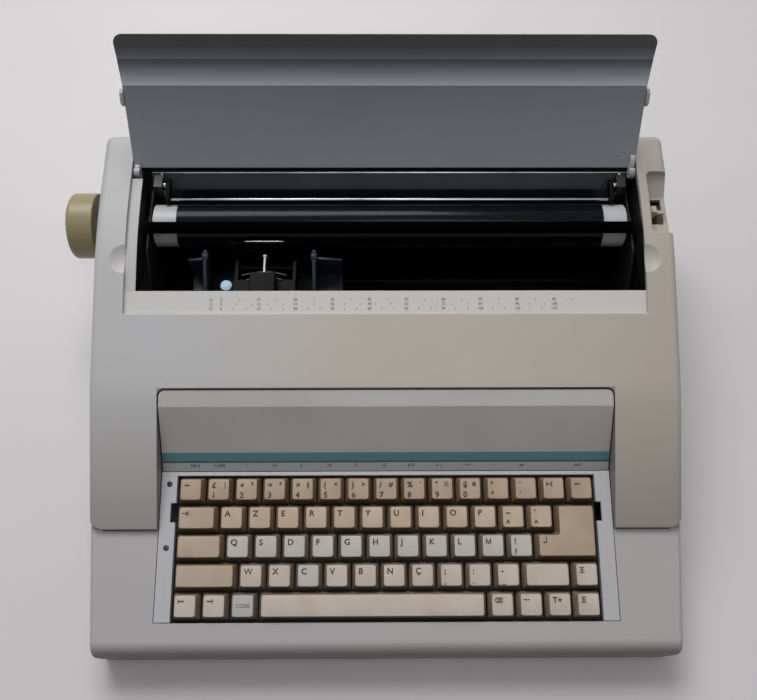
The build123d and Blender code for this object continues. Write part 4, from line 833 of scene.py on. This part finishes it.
lettering = {
    "capital": 0.682,                    # share of the letters' size
    "height": 0.0037, "small": 0.0031,   # of a capital
    # from the edges of the cap's top
    "left": 0.0019, "top": 0.0024, "foot": 0.0015, "right": 0.0021, "raise": 0.0002,
    "stroke": 0.62,                      # thousandths of a metre, as the signs are
    "bolder": 0.026,                     # share of the letters' size
    "narrow": 0.014,                     # the same for letters with sharp inner corners
    "fine": 0.010,                       # and for small words
    "thickness": 0.00005, "lift": 0.00005, "codeHeight": 0.0023, "codeFoot": 0.0062,
}
# what stands on each key: a spot's letter, then a word, or a sign after a star
spots = {"u": "upper", "r": "right", "s": "raised", "f": "foot", "m": "middle"}
letterKeys = {
    "upper_row_keys": list("AZERTYUIOP"),
    "home_row_keys": list("QSDFGHJKL") + ["*M"],
    "lower_row_keys": list("WXCVBN") + ["Ç"],
}
otherKeys = {
    "number_row_keys": ["u*spread", "u£ r| f1", "u+ s² f2", "u= s³ f3", "u× r§ f4", "u( r< f5",
                        "u) r> f6", "u/ r# f7", "u% r' f8", 'u" r½ f9', "u$ r& f0", "uª fº", "u¨ f´",
                        "u*index", "u*back"],
    "upper_row_keys": ["u~ f^", "u` f^"],
    "home_row_keys": ["u! f?"],
    "lower_row_keys": ["u; f,", "u: f.", "u- f_"],
    "tab_key": ["u*tab"],
    "return_key": ["u*enter"],
    "margin_keys": ["u*marginLeft", "u*marginRight"],
    "code_key": ["mCODE"],
    "correction_key": ["u*erase"],
    "edit_keys": ["u*beam", "u*express", "uT+", "u*beam"],
}
# signs in thousandths of a metre from their lower left corner: lines, then filled triangles
signs = {
    "M": ([(0.4, 0.3, 0.4, 3.4), (0.4, 3.3, 1.8, 0.5), (1.8, 0.5, 3.2, 3.3), (3.2, 3.4, 3.2, 0.3)], []),
    "spread": ([(1.4, 1.8, 2.8, 1.8), (2.1, 1.1, 2.1, 2.5)],
               [(0, 1.8, 1.2, 1, 1.2, 2.6), (4.2, 1.8, 3, 2.6, 3, 1)]),
    "index": ([(0.2, 0.4, 0.2, 3.4), (0.2, 1.9, 3.6, 1.9), (3.6, 0.6, 3.6, 3.2), (3.2, 0.6, 4.2, 0.6),
               (3.2, 3.2, 4.2, 3.2)], [(0.4, 0.9, 2.2, 1.9, 0.4, 2.9)]),
    "back": ([(1.2, 2, 4, 2), (1.2, 1.8, 4, 1.8)], [(0, 1.9, 1.8, 0.9, 1.8, 2.9)]),
    "tab": ([(0, 2, 3.6, 2), (3.8, 0.8, 3.8, 3.2), (2.4, 3, 3.5, 2), (2.4, 1, 3.5, 2)], []),
    "enter": ([(2.8, 4.6, 2.8, 1), (2.8, 1, 0.9, 1)], [(0, 1, 1.5, 0.1, 1.5, 1.9)]),
    "marginLeft": ([(0.3, 0.9, 0.3, 3.1), (0.3, 2, 3.6, 2)],
                   [(0.5, 2, 2, 1.1, 2, 2.9), (2.3, 2, 3.8, 1.1, 3.8, 2.9)]),
    "marginRight": ([(3.7, 0.9, 3.7, 3.1), (0.3, 2, 3.6, 2)],
                    [(3.5, 2, 2, 2.9, 2, 1.1), (1.7, 2, 0.2, 2.9, 0.2, 1.1)]),
    "erase": ([(0, 1.9, 1.1, 0.5), (0, 1.9, 1.1, 3.3), (1.1, 0.5, 4.6, 0.5), (1.1, 3.3, 4.6, 3.3),
               (4.6, 0.5, 4.6, 3.3), (1.9, 1, 3.7, 2.8), (1.9, 2.8, 3.7, 1)], []),
    "express": ([(0, 2.1, 1.6, 2.1)], [(1.2, 1.4, 2.6, 2.1, 1.2, 2.8), (2.8, 1.4, 4.2, 2.1, 2.8, 2.8)]),
    "beam": ([(1.6, 0.3, 1.6, 3.5), (0.3, 3.5, 2.9, 3.5), (0.3, 0.3, 2.9, 0.3), (0.7, 1.9, 2.5, 1.9)], []),
}


def signMesh(name):
    lines, triangles = signs[name]
    filled = [list(zip(corners[::2], corners[1::2])) for corners in triangles]
    sign = flatMesh(strokeFaces(lines, lettering["stroke"]) + filled)
    sign.data.transform(Matrix.Scale(0.001, 4))
    return sign


def wordMesh(words, height):
    weight = "narrow" if words == "W" else "fine" if len(words) > 2 else "bolder"
    return textMesh(words, height, lettering[weight])


def legendMesh(words, spot, left, right, front, back):
    # one word or sign, flat, at its spot on the top of a cap
    t = lettering
    small = spot in ("right", "raised")
    height = t["codeHeight"] if spot == "middle" else t["small"] if small else t["height"]
    letters = t["height"] if spot == "raised" else height
    mark = signMesh(words[1:]) if words[0] == "*" else wordMesh(words, letters)
    width = max(v.co.x for v in mark.data.vertices)
    x, y = left + t["left"], back - t["top"] - height
    if small:
        x = right - t["right"] - width
    if spot == "raised":
        y = back - t["top"] - t["height"] + t["raise"]
    if spot == "foot":
        y = front + t["foot"]
    if spot == "middle":
        x, y = (left + right - width) / 2, front + t["codeFoot"]
    mark.data.transform(Matrix.Translation((x, y, 0)))
    return mark


def layOnCap(mark, halfTop):
    # thickens the flat mark and lets it follow the hollow of the cap's top
    thicken(mark, lettering["thickness"])
    for vertex in mark.data.vertices:
        vertex.co.z += keyboard["height"] - dishAt(vertex.co.x, halfTop) + lettering["lift"]


def legendsOf(group):
    keys = ["u" + letter for letter in letterKeys.get(group, [])] + otherKeys.get(group, [])
    return [[(mark[1:], spots[mark[0]]) for mark in key.split()] for key in keys]


def makeLegends():
    k = keyboard
    front, back = k["topShift"] - k["topDepth"] / 2, k["topShift"] + k["topDepth"] / 2
    keys = {}
    for group, units, x, v in keyPlaces():
        half = halfTopOf(units)
        keys.setdefault(group, []).append((x, v, half, (-half, half, front, back)))
    corner = -k["returnUnits"][0] * k["pitch"] + k["gap"] / 2 + k["taper"]
    keys["return_key"] = [(*returnPlace(), 0, (corner, 0, -k["pitch"], k["topShift"] - k["taper"]))]
    for group, tops in keys.items():
        marks = []
        for (x, v, half, sides), legends in zip(tops, legendsOf(group)):
            for words, spot in legends:
                marks.append(legendMesh(words, spot, *sides))
                layOnCap(marks[-1], half)
                marks[-1].data.transform(onDeck(x, v))
        if marks:
            piece = joined(marks, group.replace("_keys", "").replace("_key", "") + "_legends")
            place(piece, group, slotOf(group), "legendTeal" if group == "code_key" else "legend")


makeKeys()
print("key caps made")
makeLegends()
print("legends made")


# Solids from an outline

def onAxis(axis, main, a, b):
    return {"X": (main, a, b), "Y": (a, main, b), "Z": (a, b, main)}[axis]


def outlineSolid(points, axis, start, end, edge=0.0003):
    # a flat outline drawn out along an axis, with soft edges
    clearSelection()
    bpy.ops.mesh.primitive_circle_add(vertices=len(points), radius=0.01, fill_type="NGON")
    solid = bpy.context.object
    for vertex, (a, b) in zip(solid.data.vertices, points):
        vertex.co = onAxis(axis, start, a, b)
    editing(solid)
    shift = {"value": onAxis(axis, end - start, 0, 0)}
    bpy.ops.mesh.extrude_region_move(TRANSFORM_OT_translate=shift)
    bpy.ops.mesh.select_all(action="SELECT")
    bpy.ops.mesh.normals_make_consistent(inside=False)
    bpy.ops.object.mode_set(mode="OBJECT")
    if edge:
        softEdges(solid, edge, 25)
    smooth(solid)
    return solid


def softEdges(thing, width, angle):
    applyModifier(thing, "BEVEL", width=width, segments=2, limit_method="ANGLE", angle_limit=radians(angle))


def box(x0, x1, y0, y1, z0, z1, edge=0.0003):
    return outlineSolid([(x0, y0), (x1, y0), (x1, y1), (x0, y1)], "Z", z0, z1, edge)


def roundBar(radius, axis, start, end, across, sides=24, edge=0.0003):
    # a bar along X, Y or Z; across gives its place on the other two axes
    clearSelection()
    spot = onAxis(axis, (start + end) / 2, *across)
    turn = {"X": (0, pi / 2, 0), "Y": (pi / 2, 0, 0), "Z": (0, 0, 0)}[axis]
    bpy.ops.mesh.primitive_cylinder_add(vertices=sides, radius=radius, depth=abs(end - start),
                                        location=spot, rotation=turn)
    bar = bpy.context.object
    bpy.ops.object.transform_apply(location=True, rotation=True)
    softEdges(bar, edge, 40)
    smooth(bar)
    return bar


def arcPath(radius, count, start, end, middle):
    # points on an arc, its angles in degrees
    angles = [radians(start + (end - start) * i / (count - 1)) for i in range(count)]
    return [(middle[0] + radius * cos(a), middle[1] + radius * sin(a)) for a in angles]


def linkOutline(first, last, half):
    # two round ends and the straight between them
    angle = atan2(last[1] - first[1], last[0] - first[0]) * 180 / pi
    return arcPath(half, 8, angle + 90, angle + 270, first) + arcPath(half, 8, angle - 90, angle + 90, last)


# Paper path

bail = {
    "pivot": (0.141, 0.1075), "rod": (0.1303, 0.1052), "rodRadius": 0.0011, "rodEnds": (-0.1546, 0.1621),
    "armWidth": 0.0032, "armHalf": 0.0029, "pinRadius": 0.00195, "pinReach": 0.0086,
}


def makeBail():
    b = bail
    left, right = b["rodEnds"]
    parts = [roundBar(b["rodRadius"], "X", left, right, b["rod"])]
    paint(parts[0], finishes["steel"])
    link = linkOutline(b["rod"], b["pivot"], b["armHalf"])
    for end, side in ((left, -1), (right, 1)):
        arm = outlineSolid(link, "X", end, end + side * b["armWidth"])
        pin = roundBar(b["pinRadius"], "X", end, end + side * (b["armWidth"] + b["pinReach"]), b["pivot"])
        paint(arm, finishes["carriage"])
        paint(pin, finishes["steel"])
        parts += [arm, pin]
    place(joined(parts, "bail_bar"), "bail", "bright_steel", replaced=["bail_rod"])


guideBar = {
    "ends": (-0.1683, 0.1758), "footWidth": 0.0012,
    "profile": [(0.1100, 0.1083), (0.1040, 0.1083), (0.1022, 0.1046), (0.1034, 0.1046), (0.1049, 0.1071),
                (0.1100, 0.1071)],
    "foot": [(0.1049, 0.1071), (0.1034, 0.1046), (0.1034, 0.0880), (0.1110, 0.0880), (0.1110, 0.1071)],
}


def makeGuideBar():
    # a black bar along the front of the platen, bent down at its front, on a foot at each end
    left, right = guideBar["ends"]
    width = guideBar["footWidth"]
    parts = [outlineSolid(guideBar["profile"], "X", left, right)]
    parts += [outlineSolid(guideBar["foot"], "X", x, x + width) for x in (left, right - width)]
    place(joined(parts, "platen_guide_bar"), "case", "black_plastic", "matBlack")


tableTrim = {
    "edgeRadius": 0.0008, "edgeInset": 0.0005, "edgeForward": 0.0009, "edgeUp": 0.0002, "edgeRound": 0.0001,
    "legX": (-0.1612, 0.1688), "legLow": (0.1395, 0.0985), "legHigh": (0.1475, 0.1115),
    "legHalf": 0.0011, "legWidth": 0.0016,
}


def makeTableTrim():
    # the bright rolled edge of the paper table and the wire legs that hold it
    t = tableTrim
    (x0, _, _), (x1, y1, z1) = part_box("paper_table")
    parts = [roundBar(t["edgeRadius"], "X", x0 + t["edgeInset"], x1 - t["edgeInset"],
                      (y1 - t["edgeForward"], z1 + t["edgeUp"]), 12, t["edgeRound"])]
    leg = linkOutline(t["legLow"], t["legHigh"], t["legHalf"])
    parts += [outlineSolid(leg, "X", x, x + t["legWidth"]) for x in t["legX"]]
    place(joined(parts, "table_wires"), "case", "bright_steel", "steel")


makeBail()
makeGuideBar()
makeTableTrim()
print("paper path dressed")


# Carriage

deckTop = 0.067                          # of the carriage body
ribbonArms = {
    # left and right side, left side of the fin, height of the wall at its left and right
    "arms": ((-0.1410, -0.1270, -0.1294, 0.0908, 0.0928), (-0.0520, -0.0310, -0.0520, 0.0938, 0.0908)),
    "fin": [(0.054, 0.067), (0.054, 0.079), (0.0838, 0.0958), (0.0938, 0.0968), (0.0938, 0.077),
            (0.0898, 0.067)],
    "finWidth": 0.0024,
    "floorFront": 0.054, "floorThickness": 0.0016,
    "wallFront": 0.0880, "wallBack": 0.0900,
    "ring": (0.0893, 0.0936), "ringRadius": 0.0040, "ringProud": 0.001, "ringRound": 0.0006,
}


def makeRibbonArms():
    # a fin with a ring at its tip, and a wide wall behind it
    r = ribbonArms
    proud = r["ringProud"]
    parts = []
    for x0, x1, finX, leftTop, rightTop in r["arms"]:
        parts.append(outlineSolid(r["fin"], "X", finX, finX + r["finWidth"]))
        wall = [(x0, deckTop), (x1, deckTop), (x1, rightTop), (x0, leftTop)]
        parts.append(outlineSolid(wall, "Y", r["wallFront"], r["wallBack"]))
        parts.append(box(x0, x1, r["floorFront"], r["wallBack"], deckTop, deckTop + r["floorThickness"]))
        parts.append(roundBar(r["ringRadius"], "X", finX - proud, finX + r["finWidth"] + proud, r["ring"],
                              edge=r["ringRound"]))
    place(joined(parts, "ribbon_fins"), "carriage", "arm_plastic", "arm", ["ribbon_arms"])


carriageTrim = {
    "edgeRadius": 0.0005, "edgeInset": 0.001, "edgeUp": 0.0004, "edgeRound": 0.0001,
    # springs: place of the crown, half angle
    "springs": ((-0.086, 0.0795, 20.373333), (-0.086, 0.0750, 16.553333)),
    "springRadius": 0.045, "springWidth": 0.0007, "springZ": (0.0905, 0.0909),
    "terminals": ((-0.0625, 0.062), (-0.0585, 0.060), (-0.0550, 0.057)),
    "terminalRadius": 0.0007, "terminalTop": 0.073,
    "lug": (-0.1265, -0.1175, 0.0640, 0.0652), "lugTop": 0.0720,
    "round": 0.0002,
}


def makeCarriageTrim():
    # bright edge of the card shield, wire springs over the wheel motor and small terminals
    t = carriageTrim
    (x0, y0, _), (x1, y1, z1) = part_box("card_guide")
    steel = [roundBar(t["edgeRadius"], "X", x0 + t["edgeInset"], x1 - t["edgeInset"],
                      ((y0 + y1) / 2, z1 + t["edgeUp"]), 10, t["edgeRound"])]
    springs = []
    for x, y, half in t["springs"]:
        outer = arcPath(t["springRadius"], 12, 90 - half, 90 + half, (x, y - t["springRadius"]))
        inner = [(a, b - t["springWidth"]) for a, b in outer[::-1]]
        springs.append(outlineSolid(outer + inner, "Z", *t["springZ"], edge=0))
    for spot in t["terminals"]:
        steel.append(roundBar(t["terminalRadius"], "Z", deckTop, t["terminalTop"], spot, 10, t["round"]))
    steel.append(box(*t["lug"], deckTop, t["lugTop"], t["round"]))
    for things, finish in ((steel, "steel"), (springs, "motor")):
        for thing in things:
            paint(thing, finishes[finish])
    place(joined(steel + springs, "carriage_wires"), "carriage", "bright_steel")


hammer = {"half": 0.0007, "head": 0.0016, "below": 0.0008, "above": 0.0004, "headRound": 0.0005,
          "collar": 0.00126}


def makeHammer():
    # a thin bar with a broader head, and the plunger's collar at its back
    h = hammer
    (x0, y0, z0), (x1, y1, z1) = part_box("print_hammer")
    x, half, neck = (x0 + x1) / 2, h["half"], y1 - h["head"]
    parts = [box(x - half, x + half, y0, neck, z0 + h["below"], z1 - h["above"]),
             box(x - 2 * half, x + 2 * half, neck, y1, z0, z1, h["headRound"]),
             roundBar(h["collar"], "Y", y0, y0 + 2 * h["head"], (x, (z0 + z1) / 2))]
    place(joined(parts, "hammer_bar"), "hammer", "bright_steel", "white", ["print_hammer"])


spindle = {"middle": (-0.1140, 0.0720), "foot": 0.0673, "flangeTop": 0.0703, "top": 0.084,
           "flangeRadius": 0.0045, "radii": (0.0040, 0.0044), "ribs": 12}


def makeSpindle():
    # ribbed drive of the ribbon, with a flange at its foot
    s = spindle
    x, y = s["middle"]
    star = []
    for i in range(2 * s["ribs"]):
        radius, angle = s["radii"][i % 2], i * pi / s["ribs"]
        star.append((x + radius * cos(angle), y + radius * sin(angle)))
    parts = [outlineSolid(star, "Z", s["flangeTop"], s["top"]),
             roundBar(s["flangeRadius"], "Z", s["foot"], s["flangeTop"], s["middle"])]
    place(joined(parts, "ribbon_drive"), "ribbon_spindle", "blue_plastic", "blue", ["ribbon_spindle"])


makeRibbonArms()
makeCarriageTrim()
makeHammer()
makeSpindle()
print("carriage dressed")


# Printing and small fittings of the case

lift = 0.00008                           # of the print over the plastic
scale = {
    "start": -0.1129, "inch": 0.0254, "inches": 9, "heads": -0.1202,
    "pitches": (10, 12, 15),             # letters to an inch, a row for each
    "rowsY": (0.0504, 0.0474, 0.0443),
    "height": 0.0019, "bolder": 0.012, "mark": 0.0005, "dash": (0.0003, 0.0011),
    "clear": 0.003,                      # no dash this near to a number
    "dashLetters": 5,
    "turn": 16, "slope": 0.28675, "drop": 0.00312,
}


def makeScale():
    s = scale
    inch, count = s["inch"], s["inches"]
    crestY, crestZ = caseForm["crest"]
    dash = strokeFaces([(0, s["dash"][0], 0, s["dash"][1])], s["mark"])
    turn = Matrix.Rotation(radians(s["turn"]), 4, "X")
    marks = []
    for pitch, y in zip(s["pitches"], s["rowsY"]):
        z = crestZ - (crestY - y) * s["slope"] - s["drop"] + lift
        numbers = [(s["heads"], pitch)] + [(s["start"] + i * inch, pitch * i) for i in range(count + 1)]
        row = [(x, textMesh(str(number), s["height"], s["bolder"], centre=True)) for x, number in numbers]
        step = s["dashLetters"] * inch / pitch
        for i in range(1, int(count * inch / step) + 2):
            x = i * step
            if abs(x / inch - round(x / inch)) * inch >= s["clear"]:
                row.append((s["start"] + x, flatMesh(dash)))
        for x, mark in row:
            thicken(mark).data.transform(Matrix.Translation((x, y, z)) @ turn)
            marks.append(mark)
    place(joined(marks, "scale_marks"), "case", "case_plastic", "scalePrint")


panelLabels = {
    "y": -0.0538, "slope": 37.1, "height": 0.0022, "bolder": 0.020,
    "facet": ((-0.0565, 0.05383), (-0.050, 0.05875)),      # the panel's lowest one, front and back edge
    "words": [("KB II", -0.1312), ("CAPS", -0.1146), ("1", -0.0961), ("1½", -0.0770), ("2", -0.0585),
              ("10", -0.0393), ("12", -0.0208), ("15", -0.0016), ("± R", 0.0170), ("± L", 0.0363),
              ("¬ +", 0.0553), ("–", 0.0743), ("«»", 0.0934), ("|«»|", 0.1320)],
}


def makePanelLabels():
    p = panelLabels
    (frontY, frontZ), (backY, backZ) = p["facet"]
    z = frontZ + (p["y"] - frontY) / (backY - frontY) * (backZ - frontZ)
    turn = Matrix.Rotation(radians(p["slope"]), 4, "X") @ Matrix.Translation((0, 0, lift))
    marks = []
    for words, x in p["words"]:
        marks.append(thicken(textMesh(words, p["height"], p["bolder"], centre=True)))
        marks[-1].data.transform(Matrix.Translation((x, p["y"], z)) @ turn)
    place(joined(marks, "panel_labels"), "case", "panel_plastic", "legendTeal")


coverFittings = {
    "turn": 53.5, "hinge": (0.1455, 0.116), "innerFace": 0.0023,
    "clips": ((-0.1782, 0.0010, 0.0056), (0.1748, 0.0035, 0.0125)),      # left side, foot, top
    "clipWidth": 0.0034, "clipHeights": (0.0016, 0.0030), "clipSlopes": (0.0010, 0.0015),
    "noseX": 0.18, "noseSides": (0.0006, 0.0018),        # into the cover, out of it
    "nose": [(0.0460, -0.0022), (0.0585, -0.0022), (0.0560, 0.0012), (0.0485, 0.0012)],
    "ringPlace": (0.1685, 0.0125), "ringRadius": 0.0030, "ringWire": 0.0003,
}


def onCover(along, above):
    # a place on the open cover: distance from its hinge, height over its inner face
    y, z = coverFittings["hinge"]
    c, s = cos(radians(coverFittings["turn"])), sin(radians(coverFittings["turn"]))
    rise = above - coverFittings["innerFace"]
    return y + along * c - rise * s, z + along * s + rise * c


def coverSolid(points, left, right, finish):
    solid = outlineSolid([onCover(*point) for point in points], "X", left, right)
    paint(solid, finishes[finish])
    return solid


def makeCoverFittings():
    # hinge clips, latch noses at the sides and a small round mould mark
    f = coverFittings
    low, high = f["clipHeights"]
    parts = []
    for x, foot, top in f["clips"]:
        clip = [(foot, 0.0), (top, 0.0), (top, low), (top - f["clipSlopes"][1], high),
                (foot + f["clipSlopes"][0], high), (foot, low)]
        parts.append(coverSolid(clip, x, x + f["clipWidth"], "white"))
    inward, outward = f["noseSides"]
    for side in (-1, 1):
        x = side * f["noseX"]
        parts.append(coverSolid(f["nose"], x - side * inward, x + side * outward, "case"))
    clearSelection()
    bpy.ops.mesh.primitive_torus_add(major_radius=f["ringRadius"], minor_radius=f["ringWire"],
                                     major_segments=32, minor_segments=8)
    ring = bpy.context.object
    smooth(ring)
    x, along = f["ringPlace"]
    turn = Matrix.Rotation(radians(f["turn"]), 4, "X")
    ring.data.transform(Matrix.Translation((x, *onCover(along, 0.0))) @ turn)
    paint(ring, finishes["cover"])
    place(joined(parts + [ring], "cover_fittings"), "paper_cover", "cover_plastic")


wingSeam = {"x": ((-0.1925, -0.1552), (0.1552, 0.1925)), "y": (-0.0962, -0.0954), "z": (0.0480, 0.0487),
            "round": 0.0001}


# a dark strip at the foot of each wing end: partly the seam between the mouldings, partly painted shade
# under the step
def makeWingSeams():
    w = wingSeam
    strips = [box(x0, x1, *w["y"], *w["z"], w["round"]) for x0, x1 in w["x"]]
    place(joined(strips, "wing_seams_and_shade"), "case", "case_plastic", "legend")


makeScale()
makePanelLabels()
makeCoverFittings()
makeWingSeams()
print("scale, labels and fittings made")
